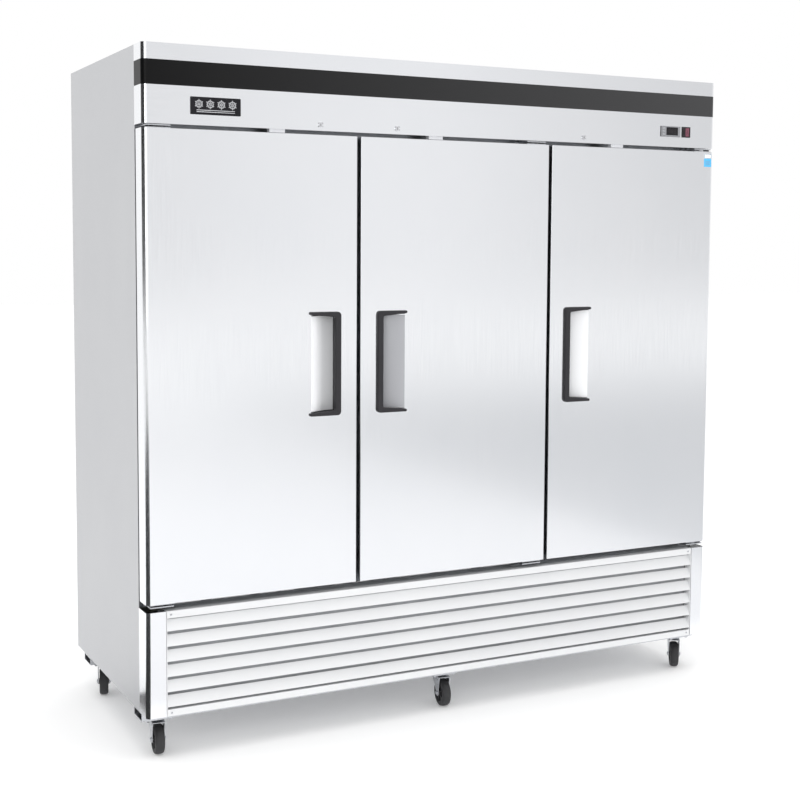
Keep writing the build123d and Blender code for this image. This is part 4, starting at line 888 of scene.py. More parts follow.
# ------------------------------------------------------------------------------ header
@dataclass
class Badge:
    """Generic badge: black enamel plate with a row of plain snow crystals, underlined twice.

    Attributes:
        crystals: How many snow crystals stand in the row.
        relief: How far the silver stands out of the plate.
        arm: Length of each arm of the crystal.
        stroke: Width of the crystal's lines.
        line_drops: How far below the plate's middle the two underlines lie.
        line_width: Width of the underlines.
    """

    crystals: int = 4
    relief: float = 0.0005
    arm: float = 0.0135
    stroke: float = 0.0024
    line_drops: tuple[float, float] = (0.0125, 0.0175)
    line_width: float = 0.118

    def build(self) -> None:
        """Adds the silver parts and the enamel on the plate that the frame holds."""
        low, high = self.plate()
        face = low.y
        mesh = bmesh.new()
        middle = (low + high) / 2
        for step in range(self.crystals):
            x = low.x + (high.x - low.x) * (step + 0.75) / (self.crystals + 0.5)
            self.crystal(mesh, Vector((x, face, middle.z + 0.005)))
        half = self.line_width / 2
        for drop in self.line_drops:
            block(
                mesh, (middle.x - half, face - self.relief, middle.z - drop - 0.0010),
                (middle.x + half, face + 0.0004, middle.z - drop + 0.0010), 0.0002,
            )
        piece(mesh, "badge_silver", "cabinet", BADGE_SILVER)
        mesh = bmesh.new()
        block(
            mesh, (low.x + 0.0004, face - 0.0001, low.z + 0.0004),
            (high.x - 0.0004, face + 0.001, high.z - 0.0004), 0.0001,
        )
        piece(mesh, "badge_enamel", "cabinet", BADGE_BLACK)

    def plate(self) -> tuple[Vector, Vector]:
        """Corners of the badge plate, which stands proud of the band it shares a node with."""
        front = corners("header_trim")[0].y
        boxes = [box for box in islands("header_trim") if box[0].y < front + 0.0001]
        return boxes[0]

    def crystal(self, mesh: bmesh.types.BMesh, centre: Vector) -> None:
        """Adds a six-armed snow crystal."""
        for step in range(6):
            base = Matrix.Translation(centre) @ Matrix.Rotation(math.radians(60 * step), 4, "Y")
            arms = ((self.arm, 0.0, 0), (0.006, 0.006, 50), (0.006, 0.006, -50))
            for length, start, slant in arms:
                place = (
                    base
                    @ Matrix.Translation((0, -self.relief / 2 + 0.0002, start))
                    @ Matrix.Rotation(math.radians(slant), 4, "Y")
                    @ Matrix.Translation((0, 0, length / 2))
                    @ Matrix.Diagonal((self.stroke, self.relief + 0.0004, length, 1.0))
                )
                bmesh.ops.create_cube(mesh, size=1.0, matrix=place)


@dataclass
class ControlPanel:
    """Controller with its display and keys, and the rocker switch beside it.

    Attributes:
        rim: Width of the controller's raised rim.
        lens: Half width and half height of the display's lens.
        lens_offset: How far right of the middle the lens lies.
        key_round: Radius of the key caps' edges.
    """

    rim: float = 0.0030
    lens: tuple[float, float] = (0.0252, 0.0138)
    lens_offset: float = 0.0058
    key_round: float = 0.0009

    def build(self) -> None:
        """Builds the controller, its keys and the switch."""
        dress("controller_case", CONTROLLER_ABS)
        dress("switch_bezel", DARK_ABS)
        self.build_bezel()
        self.build_display()
        for name in ("up", "set", "down"):
            self.build_key(name)
        self.build_rocker()

    def build_bezel(self) -> None:
        """Adds the rounded rims of the controller and the switch."""
        rims = (
            (
                "controller_case", "controller_rim", CONTROLLER_ABS, "controller_grey",
                [
                    (0.0, 0.0029), (0.0, 0.0008), (0.0008, -0.0004),
                    (self.rim - 0.0008, -0.0004), (self.rim, 0.0003), (self.rim, 0.0029),
                ],
            ),
            (
                "switch_bezel", "switch_rim", DARK_ABS, "handle_black",
                [
                    (0.0, 0.0024), (0.0, 0.0006), (0.0006, -0.0003),
                    (0.0024, -0.0003), (0.0029, 0.0003), (0.0029, 0.0024),
                ],
            ),
        )
        for node, name, finish, slot, section in rims:
            low, high = corners(node)
            mesh = bmesh.new()
            placed = [(inset, low.y + depth) for inset, depth in section]
            mitred_ring(mesh, (low.x, low.z), (high.x, high.z), placed)
            piece(mesh, name, "cabinet", finish)

    def build_display(self) -> None:
        """Adds the smoked lens and the unlit figures behind it."""
        low, high = corners("controller_case")
        x, z = (low.x + high.x) / 2 + self.lens_offset, (low.z + high.z) / 2 + 0.0008
        wide, tall = self.lens
        mesh = bmesh.new()
        block(
            mesh, (x - wide, low.y - 0.0002, z - tall), (x + wide, low.y + 0.0012, z + tall), 0.0004
        )
        piece(mesh, "display_lens", "cabinet", DISPLAY_LENS)
        mesh = bmesh.new()
        for step in (-1, 0, 1):
            self.draw_eight(mesh, (x + step * 0.0115, low.y - 0.0003, z))
        piece(mesh, "display_figures", "cabinet", SEGMENT_LENS)

    def draw_eight(self, mesh: bmesh.types.BMesh, at: Point) -> None:
        """Adds the seven bars of one unlit figure."""
        half, rise, bar = 0.0030, 0.0055, 0.0006
        for step in (-1, 0, 1):
            z = at[2] + step * rise
            block(mesh, (at[0] - half, at[1], z - bar), (at[0] + half, at[1] + 0.0003, z + bar))
        for side in (-1, 1):
            for step in (-0.5, 0.5):
                x, z = at[0] + side * (half + bar), at[2] + step * rise
                block(
                    mesh, (x - bar, at[1], z - rise / 2 + bar),
                    (x + bar, at[1] + 0.0003, z + rise / 2 - bar),
                )

    def build_key(self, name: str) -> None:
        """Builds one key cap with soft edges and a dimple bar."""
        low, high = corners(f"controller_button_{name}")
        mesh = bmesh.new()
        block(mesh, tuple(low), tuple(high), self.key_round, 3)
        z = (low.z + high.z) / 2
        rod(mesh, (low.x + 0.002, low.y, z), (high.x - 0.002, low.y, z), 0.0004, 10)
        piece(
            mesh, f"key_cap_{name}", f"{name}_button", KEY_RUBBER,
            (f"controller_button_{name}",),
        )

    def build_rocker(self) -> None:
        """Builds the rocker: its left half painted near-black as painted shade of its tilt, its
        right half a red lens.
        """
        source = frame["nodes"]["power_rocker"].data
        mesh = bmesh.new()
        mesh.from_mesh(source)
        bmesh.ops.remove_doubles(mesh, verts=mesh.verts, dist=1e-6)
        low, high = corners("power_rocker")
        middle = (low.x + high.x) / 2
        bmesh.ops.bisect_plane(
            mesh, geom=[*mesh.verts, *mesh.edges, *mesh.faces], plane_co=(middle, 0, 0),
            plane_no=(1, 0, 0), dist=1e-6,
        )
        # Faces left of the middle take the painted shade, those right of it the red lens.
        for face in mesh.faces:
            face.material_index = int(face.calc_center_median().x > middle)
        tops = [low.y + 0.0016, low.y + 0.0030]
        for step in (-0.006, 0.006):
            x = middle + step - 0.0010
            block(mesh, (x, tops[0], low.z + 0.008), (x + 0.0009, tops[1], high.z - 0.008), 0.0001)
        piece(
            mesh, "rocker_cap", "rocker", [ROCKER_BLACK, ROCKER_RED],
            ("power_rocker",),
        )


@dataclass
class Lock:
    """Key lock over a door: turned rose, plug and keyway.

    Attributes:
        door: The door it locks.
        rose: Radius of the rose.
        plug: Radius of the plug.
    """

    door: str
    rose: float = 0.0098
    plug: float = 0.0063

    def build(self) -> None:
        """Adds the turned rose to the cabinet and the dressed plug to its own body."""
        low, high = corners(f"lock_plug_{self.door}")
        x, front, z = JOINTS[f"{self.door}_lock_turn"]["pos_m"]
        mesh = bmesh.new()
        profile = [
            (self.plug + 0.0004, 0.0), (self.rose, 0.0), (self.rose, 0.0009),
            (self.rose - 0.0012, 0.0019), (self.plug + 0.0014, 0.0020),
            (self.plug + 0.0004, 0.0014),
        ]
        lathe(mesh, profile, (x, front, z), (0, -1, 0), 40)
        piece(mesh, f"lock_rose_{self.door}", "cabinet", CHROME)
        mesh = bmesh.new()
        block(
            mesh, (x - 0.0007, low.y - 0.0001, z - 0.0037), (x + 0.0007, low.y + 0.0010, z + 0.0037)
        )
        body = f"{self.door}_lock_plug"
        piece(mesh, f"lock_keyway_{self.door}", body, KEYWAY_DARK)
        dress(f"lock_plug_{self.door}", CHROME)


# ------------------------------------------------------------------------------ doors
@dataclass
class Scoop:
    """Finger scoop pressed into a door behind its handle.

    Attributes:
        start: From the outside of the handle's bar to the deep end.
        depth: How deep it is at the bar.
        flat: Length of its flat bottom before the bend.
        ramp: Length over which it comes back to the face.
        bend: Radius between the flat and the ramp.
    """

    start: float = 0.005
    depth: float = 0.040
    flat: float = 0.024
    ramp: float = 0.070
    bend: float = 0.080

    def curve(self, raised: float = 0.0) -> list[tuple[float, float]]:
        """Points of (distance from the bar's outside, depth) from the deep end to the tip.

        Args:
            raised: How far the curve lies in front of the pressed sheet.

        Returns:
            The points, in order.
        """
        slope = math.atan2(self.depth, self.ramp)
        tangent = self.bend * math.tan(slope / 2)
        corner = self.start + self.flat
        points = [(self.start + 0.0008, self.depth - raised)]
        for step in range(13):
            turn = slope * step / 12
            across = corner - tangent + self.bend * math.sin(turn)
            down = self.depth - self.bend * (1 - math.cos(turn))
            points.append((across, down - raised))
        points.append((corner + self.ramp * (1 - raised / self.depth), 0.0))
        return points


@dataclass
class Handle:
    """C-shaped pull of black nylon with a liner that goes down into the scoop.

    Attributes:
        door: The door it is on.
        bar: Width of the upright bar.
        arm: Height of an arm where it leaves the bar, and at its tip.
        corner: Radius of the two outer corners.
        tip: Radius at the ends of the arms.
        inner: Radius where the arms leave the bar.
        proud: How far it stands out of the face.
        soften: Radius of its front edges.
        wall: Thickness of the liner's end walls.
        lip: Depth of the lip behind the bar.
        scoop_end: From each end of the handle to the scoop.
    """

    door: str
    bar: float = 0.020
    arm: tuple[float, float] = (0.016, 0.009)
    corner: float = 0.012
    tip: float = 0.0043
    inner: float = 0.006
    proud: float = 0.010
    soften: float = 0.0034
    wall: float = 0.0015
    lip: float = 0.006
    scoop_end: float = 0.010
    scoop: Scoop = field(default_factory=Scoop)

    def across(self, run: float) -> float:
        """x at a distance from the outside of the bar, towards the hinge."""
        low, high = corners(f"door_handle_{self.door}")
        return high.x - run if self.door == "left" else low.x + run

    def outline(self) -> list[tuple[float, float]]:
        """Points of the C, as distance from the bar's outside and height."""
        low, high = corners(f"door_handle_{self.door}")
        width = high.x - low.x
        turns = (
            (self.corner, self.corner, self.corner, 180, 270),
            (width - self.tip, self.tip, self.tip, 270, 360),
            (width - self.tip, self.arm[1] - self.tip, self.tip, 0, 80),
            (self.bar + self.inner, self.arm[0] + self.inner, self.inner, 264, 180),
        )
        lower = []
        for across, up, radius, start, end in turns:
            for step in range(7):
                angle = math.radians(start + (end - start) * step / 6)
                lower.append((across + radius * math.cos(angle), up + radius * math.sin(angle)))
        tall = high.z - low.z
        upper = [(across, tall - up) for across, up in reversed(lower)]
        return [(across, low.z + up) for across, up in lower + upper]

    def build(self) -> None:
        """Builds the pull with its liner, and the bright pan inside it."""
        low, high = corners(f"door_handle_{self.door}")
        face = low.y + self.proud
        mesh = bmesh.new()
        outline = [(self.across(run), face, z) for run, z in self.outline()]
        prism(mesh, outline, (0, -self.proud, 0))
        rim = [e for e in mesh.edges if all(v.co.y < low.y + 1e-6 for v in e.verts)]
        bmesh.ops.bevel(
            mesh, geom=rim, offset=self.soften, segments=5, profile=0.5, affect="EDGES", material=-1
        )
        cuts = (
            ((self.across(self.bar + self.inner), 0, 0), (1, 0, 0)),
            ((0, 0, low.z + self.arm[0] + self.inner), (0, 0, 1)),
            ((0, 0, high.z - self.arm[0] - self.inner), (0, 0, 1)),
        )
        for spot, way in cuts:
            bmesh.ops.bisect_plane(
                mesh, geom=[*mesh.verts, *mesh.edges, *mesh.faces], plane_co=spot, plane_no=way,
                dist=1e-6,
            )
        self.line_scoop(mesh, face)
        piece(
            mesh, f"handle_pull_{self.door}", f"{self.door}_door", HANDLE_NYLON,
            (f"door_handle_{self.door}",), 50.0,
        )
        self.lay_pan(face)

    def line_scoop(self, mesh: bmesh.types.BMesh, face: float) -> None:
        """Adds the liner's end walls, deep wall and lip."""
        low, high = corners(f"door_handle_{self.door}")
        bottom, top = low.z + self.scoop_end, high.z - self.scoop_end
        curve = [(self.scoop.start, 0.0), (self.scoop.start, self.scoop.depth)] + self.scoop.curve()
        for z in (bottom, top - self.wall):
            prism(mesh, [(self.across(run), face + d, z) for run, d in curve], (0, 0, self.wall))
        for run, depth in ((self.scoop.start + 0.003, self.scoop.depth), (self.bar, self.lip)):
            xs = sorted((self.across(self.scoop.start), self.across(run)))
            block(mesh, (xs[0], face, bottom), (xs[1], face + depth, top), 0.0008)

    def lay_pan(self, face: float) -> None:
        """Lays the scoop's own satin sheet over the pressing, between the liner's walls."""
        low, high = corners(f"door_handle_{self.door}")
        outer = self.scoop.curve(0.0001)[1:]
        inner = self.scoop.curve(0.0006)[1:]
        mesh = bmesh.new()
        outline = [(self.across(run), face + d, low.z + 0.0135) for run, d in outer]
        outline += [(self.across(run), face + d, low.z + 0.0135) for run, d in reversed(inner)]
        prism(mesh, outline, (0, 0, high.z - low.z - 0.027))
        # The middle scoop takes the darker copy of the same sheet: painted shade, not wear.
        finish = SCOOP_STEEL_DULL if self.door == "middle" else SCOOP_STEEL
        piece(mesh, f"scoop_pan_{self.door}", f"{self.door}_door", finish, (), 60.0)


@dataclass
class Door:
    """One door: steel pan, moulded back, gasket, handle, hinges and what is stuck on it.

    Attributes:
        name: Which door it is.
        border: Width of the flange round its back.
        dyke: How far the moulded back's border stands up.
        screw: Radius of the hinge screws.
    """

    name: str
    border: float = 0.042
    dyke: float = 0.0024
    screw: float = 0.0032

    def build(self) -> None:
        """Builds and dresses the door."""
        dress(f"door_skin_{self.name}", DOOR_STEEL)
        dress(f"door_inner_panel_{self.name}", LINER_ABS)
        dress(f"door_hinge_plates_{self.name}", ZINC)
        Handle(self.name).build()
        self.build_gasket()
        self.build_back()
        self.drive_screws()

    def build_gasket(self) -> None:
        """Builds the bellows gasket with its magnet head, mitred at the corners."""
        low, high = corners(f"door_gasket_{self.name}")
        root, tip = low.y, high.y
        section = [
            (0.0000, root), (0.0160, root), (0.0160, root + 0.0018), (0.0122, root + 0.0032),
            (0.0146, root + 0.0050), (0.0122, root + 0.0066), (0.0152, root + 0.0080),
            (0.0152, tip - 0.0008), (0.0144, tip), (0.0016, tip), (0.0008, tip - 0.0008),
            (0.0008, root + 0.0080), (0.0038, root + 0.0066), (0.0014, root + 0.0050),
            (0.0038, root + 0.0032), (0.0000, root + 0.0018),
        ]
        mesh = bmesh.new()
        mitred_ring(mesh, (low.x, low.z), (high.x, high.z), section)
        piece(
            mesh, f"gasket_bellows_{self.name}", f"{self.name}_door", GASKET_PVC,
            (f"door_gasket_{self.name}",),
        )

    def build_back(self) -> None:
        """Adds the moulded border and ribs to the back of the door."""
        skin_low, skin_high = corners(f"door_skin_{self.name}")
        back = corners(f"door_inner_panel_{self.name}")[1].y
        low = (skin_low.x + self.border, skin_low.z + self.border)
        high = (skin_high.x - self.border, skin_high.z - self.border)
        mesh = bmesh.new()
        section = [
            (-0.0005, back - 0.0075), (-0.0005, back - 0.0010), (0.0022, back + self.dyke * 0.8),
            (0.0050, back + self.dyke), (0.0230, back + self.dyke),
            (0.0265, back + self.dyke * 0.7), (0.0290, back + 0.0002), (0.0290, back - 0.0075),
        ]
        mitred_ring(mesh, low, high, section)
        middle, half = (low[0] + high[0]) / 2, (high[0] - low[0]) * 0.34
        for step in range(6):
            z = low[1] + (high[1] - low[1]) * (step + 0.5) / 6
            block(
                mesh, (middle - half, back - 0.001, z - 0.011),
                (middle + half, back + 0.0016, z + 0.011), 0.0012, 3,
            )
        piece(
            mesh, f"moulded_back_{self.name}", f"{self.name}_door", LINER_ABS,
            crease=50.0,
        )

    def drive_screws(self) -> None:
        """Drives the screws of the door's hinge plates, from above and from below."""
        mesh = bmesh.new()
        for low, high in islands(f"door_hinge_plates_{self.name}"):
            upper = low.z > 1.0
            z, axis = (high.z, (0, 0, 1)) if upper else (low.z, (0, 0, -1))
            for share in (0.42, 0.62, 0.82):
                run = (high.x - low.x) * share
                x = low.x + run if self.name == "left" else high.x - run
                screw_head(mesh, (x, low.y + 0.043, z), axis, self.screw * 0.8)
        piece(mesh, f"hinge_screws_{self.name}", f"{self.name}_door", ZINC)


@dataclass
class Sticker:
    """Plain two-colour sticker near the top corner of the right door.

    Attributes:
        from_edge: From the door's hinge edge to the sticker.
        from_top: From the door's top to the sticker.
        size: Its width and height.
        blue: Height of the blue lower part.
    """

    from_edge: float = 0.011
    from_top: float = 0.006
    size: tuple[float, float] = (0.032, 0.046)
    blue: float = 0.029

    def build(self) -> None:
        """Adds the white and the blue vinyl."""
        low, high = corners("door_skin_right")
        right, top = high.x - self.from_edge, high.z - self.from_top
        left, bottom = right - self.size[0], top - self.size[1]
        for name, z0, z1, finish in (
            ("sticker_white", bottom + self.blue, top, STICKER_WHITE),
            ("sticker_blue", bottom, bottom + self.blue, STICKER_BLUE),
        ):
            mesh = bmesh.new()
            block(mesh, (left, low.y - 0.00025, z0), (right, low.y + 0.0001, z1))
            piece(mesh, name, "right_door", finish)
        mesh = bmesh.new()
        section = [
            (0.0006, low.y - 0.0001), (0.0006, low.y - 0.0004), (0.0024, low.y - 0.0004),
            (0.0024, low.y - 0.0001),
        ]
        mitred_ring(mesh, (left, bottom + self.blue), (right, top), section)
        for step in (0.35, 0.6):
            z = bottom + self.blue * step
            block(
                mesh, (left + 0.006, low.y - 0.0004, z - 0.0011),
                (right - 0.006, low.y, z + 0.0011),
            )
        piece(mesh, "sticker_lines", "right_door", STICKER_LINE)


# ------------------------------------------------------------------------------ cabinet
@dataclass
class Cabinet:
    """Shell, face frame, hinge brackets, posts and base.

    Attributes:
        ring: Radius of the black bearing rings on the hinge pins.
    """

    ring: float = 0.0094

    def build(self) -> None:
        """Dresses the cabinet and adds its small parts."""
        dress(("side_panels", "top_panel", "back_panel"), CABINET_SHEET)
        dress("header_fascia", HEADER_STEEL)
        dress("corner_posts", DOOR_STEEL)
        # The face frame's mid grey is painted shade of the gaps round the doors.
        dress("face_frame", FACE_STEEL)
        dress("insulation_slabs", FOAM)
        dress("inner_liner", LINER_ALUMINIUM)
        dress(("base_frame", "hinge_brackets", "caster_plates"), ZINC)
        dress("door_switches", SWITCH_GREY)
        dress("header_trim", BAND_VINYL)
        dress("lock_bodies", CHROME)
        self.fit_rings()
        self.fit_scuff_strip()

    def fit_rings(self) -> None:
        """Fits a black nylon bearing ring on every hinge pin."""
        mesh = bmesh.new()
        for name in DOOR_NAMES:
            x, y, _ = JOINTS[f"{name}_door_hinge"]["pos_m"]
            low, high = corners(f"door_hinge_plates_{name}")
            for z, turn in ((low.z, -1), (high.z, 1)):
                profile = [
                    (0.0060, 0.0003), (self.ring, 0.0003), (self.ring + 0.0006, 0.0014),
                    (self.ring + 0.0006, 0.0034), (self.ring, 0.0044), (0.0060, 0.0044),
                ]
                lathe(mesh, profile, (x, y, z), (0, 0, turn), 28)
        piece(mesh, "hinge_bearing_rings", "cabinet", DARK_ABS)

    def fit_scuff_strip(self) -> None:
        """Adds the stainless scuff strip along the bottom of the door openings."""
        low, high = corners("face_frame")
        floor = corners("inner_liner")[0].z
        mesh = bmesh.new()
        block(
            mesh, (low.x + 0.065, low.y - 0.0006, floor - 0.030),
            (high.x - 0.065, low.y + 0.0006, floor - 0.004), 0.0005,
        )
        # The scuff strip takes the face frame's darkened steel, which is painted shade.
        piece(mesh, "opening_scuff_strip", "cabinet", FACE_STEEL)


@dataclass
class Grille:
    """Louvred grille over the machine: folded slats between two rails.

    Attributes:
        top_rail: Height of the top rail.
        bottom_rail: Height of the bottom rail.
        rail_depth: Depth of the rails.
        plate: Thickness of the end plates.
        first: From the bottom of the grille to the lowest lip.
        pitch: From one slat to the next.
        lip: Height of a slat's upright lip.
        run: Depth of a slat.
        rise: How far a slat rises behind its lip.
        sheet: Thickness of the slats.
        screw: Radius of the rail's screws.
    """

    top_rail: float = 0.022
    bottom_rail: float = 0.021
    rail_depth: float = 0.030
    plate: float = 0.002
    first: float = 0.0285
    pitch: float = 0.046
    lip: float = 0.004
    run: float = 0.015
    rise: float = 0.030
    sheet: float = 0.0015
    screw: float = 0.0033

    def build(self) -> None:
        """Builds the grille in place of its plain one."""
        low, high = corners("front_grille")
        mesh = bmesh.new()
        for z0, z1 in ((high.z - self.top_rail, high.z), (low.z, low.z + self.bottom_rail)):
            block(mesh, (low.x, low.y, z0), (high.x, low.y + self.rail_depth, z1), 0.0016, 4)
        for x0, x1 in ((low.x, low.x + self.plate), (high.x - self.plate, high.x)):
            block(mesh, (x0, low.y + 0.0006, low.z + 0.002), (x1, high.y, high.z - 0.002))
        room = high.z - self.top_rail - self.first - self.lip - self.rise - low.z
        for step in range(int(room / self.pitch) + 1):
            self.fold_slat(mesh, low, high, low.z + self.first + step * self.pitch)
        piece(
            mesh, "grille_slats", "cabinet", GRILLE_STEEL, ("front_grille",), 30.0
        )
        self.back_slats(low, high)
        mesh = bmesh.new()
        for x in (low.x + 0.014, high.x - 0.014):
            for z in (low.z + self.bottom_rail / 2, high.z - self.top_rail / 2):
                screw_head(mesh, (x, low.y + 0.0003, z), (0, -1, 0), self.screw)
        piece(mesh, "grille_screws", "cabinet", ZINC)

    def back_slats(self, low: Vector, high: Vector) -> None:
        """Adds the grey filter mat behind the slats and the sill sheet over the top rail."""
        mesh = bmesh.new()
        block(
            mesh, (low.x + 0.004, high.y + 0.0015, low.z + 0.004),
            (high.x - 0.004, high.y + 0.0045, high.z - 0.004), 0.0008,
        )
        piece(mesh, "filter_mat", "cabinet", FILTER_MAT)
        frame_front = corners("face_frame")[0].y
        mesh = bmesh.new()
        block(
            mesh, (low.x + 0.001, low.y + self.rail_depth - 0.002, high.z - 0.0014),
            (high.x - 0.001, frame_front - 0.0004, high.z - 0.0002), 0.0004,
        )
        # The sill's greyer steel is painted shade of the recess over the grille.
        piece(mesh, "grille_sill_sheet", "cabinet", SILL_STEEL)

    def fold_slat(self, mesh: bmesh.types.BMesh, low: Vector, high: Vector, lip: float) -> None:
        """Adds one slat: a rolled lower edge, an upright lip, a soft fold and a slope."""
        front, crest = low.y, lip + self.lip
        thick = self.sheet / math.cos(math.atan2(self.rise, self.run))
        fold = 0.0015
        slope = self.rise / self.run
        inner = crest + self.sheet * slope - thick
        outline = [
            (front + 0.0004, lip), (front, lip + 0.0005), (front, crest - fold),
            (front + fold * 0.10, crest - fold * 0.05), (front + fold * 0.45, crest + fold * 0.75),
            (front + fold, crest + fold * slope),
            (front + self.run - 0.0006, crest + self.rise - 0.0012),
            (front + self.run - 0.0001, crest + self.rise - 0.0013),
            (front + self.run, crest + self.rise - thick),
            (front + self.sheet + fold * 0.6, inner + fold * slope * 0.6),
            (front + self.sheet, inner - fold * 0.4),
            (front + self.sheet, lip + 0.0004),
            (front + self.sheet - 0.0004, lip),
        ]
        points = [(low.x + 0.0001, y, z) for y, z in outline]
        prism(mesh, points, (high.x - low.x - 0.0002, 0, 0))


@dataclass
class Caster:
    """Swivel caster: pressed fork, hexagon axle, tyre and core.

    Attributes:
        name: Which caster it is.
        radius: Radius of the tread.
        half_fork: Half width of the fork, over its legs.
        sheet: Thickness of the fork.
        trail: From the swivel axis to the axle.
        front: How far the crown reaches either side of the axle and swivel.
        foot: Radius of a leg round the axle.
        crown: Radius of the crown under the bearing.
    """

    name: str
    radius: float = 0.045
    half_fork: float = 0.020
    sheet: float = 0.003
    trail: float = 0.027
    front: float = 0.018
    foot: float = 0.011
    crown: float = 0.023

    def place(self) -> Matrix:
        """Turns local axes, +X along the axle and the origin under the swivel, into the frame."""
        x, y, _ = JOINTS[f"{self.name}_swivel"]["pos_m"]
        across = Vector(JOINTS[f"{self.name}_roll"]["axis"])
        along = Vector((0, 0, 1)).cross(across)
        turn = Matrix((across, along, (0, 0, 1))).transposed().to_4x4()
        return Matrix.Translation((x, y, 0)) @ turn

    def build(self) -> None:
        """Builds the fork and the wheel."""
        self.build_fork()
        self.build_wheel()

    def build_fork(self) -> None:
        """Builds the fork with rounded legs, a domed crown and a hexagon axle."""
        low, high = corners(f"caster_fork_{self.name}")
        top, under = high.z, high.z - self.sheet
        mesh = bmesh.new()
        block(
            mesh, (-self.half_fork, -self.trail - self.front, under),
            (self.half_fork, self.front, top), 0.0011, 3,
        )
        dome = [
            (0.0052, under - top), (self.crown - 0.002, under - top), (self.crown, -0.0022),
            (self.crown, -0.0010), (self.crown - 0.0012, 0.0), (0.0052, 0.0),
        ]
        lathe(mesh, dome, (0, 0, top), (0, 0, 1), 40)
        leg = [(-self.trail - self.front, under + 0.0010), (self.front, under + 0.0010)]
        leg += [(self.front - 0.004, under - 0.010)]
        for step in range(11):
            angle = math.radians(20 - 220 * step / 10)
            along, up = self.foot * math.cos(angle), self.foot * math.sin(angle)
            leg.append((-self.trail + along, self.radius + up))
        leg += [(-self.trail - self.front + 0.003, under - 0.012)]
        for side in (-1, 1):
            start = side * self.half_fork
            outline = [(start, y, z) for y, z in leg]
            faces = prism(mesh, outline, (-side * self.sheet, 0, 0))
            edges = {edge for face in faces for edge in face.edges}
            flat = [e for e in edges if abs(e.verts[0].co.x - e.verts[1].co.x) < 1e-6]
            bmesh.ops.bevel(
                mesh, geom=flat, offset=0.0006, segments=2, profile=0.5, affect="EDGES",
                material=-1,
            )
            base = (side * self.half_fork, -self.trail, self.radius)
            washer = [
                (0.0035, 0.0), (0.0078, 0.0), (0.0078, 0.0009), (0.0072, 0.0012),
                (0.0035, 0.0012),
            ]
            lathe(mesh, washer, base, (side, 0, 0), 28)
            head = (base[0] + side * 0.0012, base[1], base[2])
            tip = (base[0] + side * 0.0040, base[1], base[2])
            rod(mesh, head, tip, 0.0066, 6, 0.0060)
        rod(
            mesh, (-self.half_fork, -self.trail, self.radius),
            (self.half_fork, -self.trail, self.radius), 0.0039, 20,
        )
        bmesh.ops.transform(mesh, matrix=self.place(), verts=mesh.verts)
        piece(
            mesh, f"fork_{self.name}", f"{self.name}_fork", ZINC,
            (f"caster_fork_{self.name}",), 35.0,
        )

    def build_wheel(self) -> None:
        """Builds the wheel: a crowned tyre on a ribbed core."""
        half = [
            (0.0042, 0.0166), (0.0096, 0.0166), (0.0102, 0.0158), (0.0112, 0.0108),
            (0.0270, 0.0100), (0.0288, 0.0112), (0.0298, 0.0142), (0.0330, 0.0149),
            (0.0386, 0.0147), (0.0422, 0.0130), (0.0440, 0.0100), (0.0448, 0.0055),
            (0.0450, 0.0016),
        ]
        profile = half + [(r, -h) for r, h in reversed(half)]
        mesh = bmesh.new()
        lathe(mesh, profile, (0, -self.trail, self.radius), (1, 0, 0), 56)
        centre = Vector((0, -self.trail, self.radius))
        for face in mesh.faces:
            off = face.calc_center_median() - centre
            face.material_index = int(math.hypot(off.y, off.z) < 0.0300)
        for side in (-1, 1):
            for step in range(6):
                angle = math.radians(60 * step)
                place = (
                    Matrix.Translation(centre + Vector((side * 0.0112, 0, 0)))
                    @ Matrix.Rotation(angle, 4, "X")
                    @ Matrix.Translation((0, 0, 0.0195))
                    @ Matrix.Diagonal((0.0040, 0.0024, 0.0180, 1.0))
                )
                made = bmesh.ops.create_cube(mesh, size=1.0, matrix=place)
                for face in {f for v in made["verts"] for f in v.link_faces}:
                    face.material_index = 1
        bmesh.ops.transform(mesh, matrix=self.place(), verts=mesh.verts)
        piece(
            mesh, f"wheel_{self.name}", f"{self.name}_wheel", [WHEEL_RUBBER, WHEEL_CORE],
            (f"caster_wheel_{self.name}",), 32.0,
        )


def bolt_casters() -> None:
    """Adds the four hexagon bolts under every caster plate."""
    mesh = bmesh.new()
    plate = min(high.z for low, high in islands("caster_plates")) - 0.003
    for name in CASTER_NAMES:
        x, y, _ = JOINTS[f"{name}_swivel"]["pos_m"]
        for dx in (-0.034, 0.034):
            for dy in (-0.030, 0.030):
                spot = (x + dx, y + dy)
                rod(mesh, (*spot, plate - 0.0008), (*spot, plate + 0.001), 0.0064, 18)
                rod(mesh, (*spot, plate - 0.0042), (*spot, plate - 0.0008), 0.0050, 6)
    piece(mesh, "caster_plate_bolts", "cabinet", ZINC)


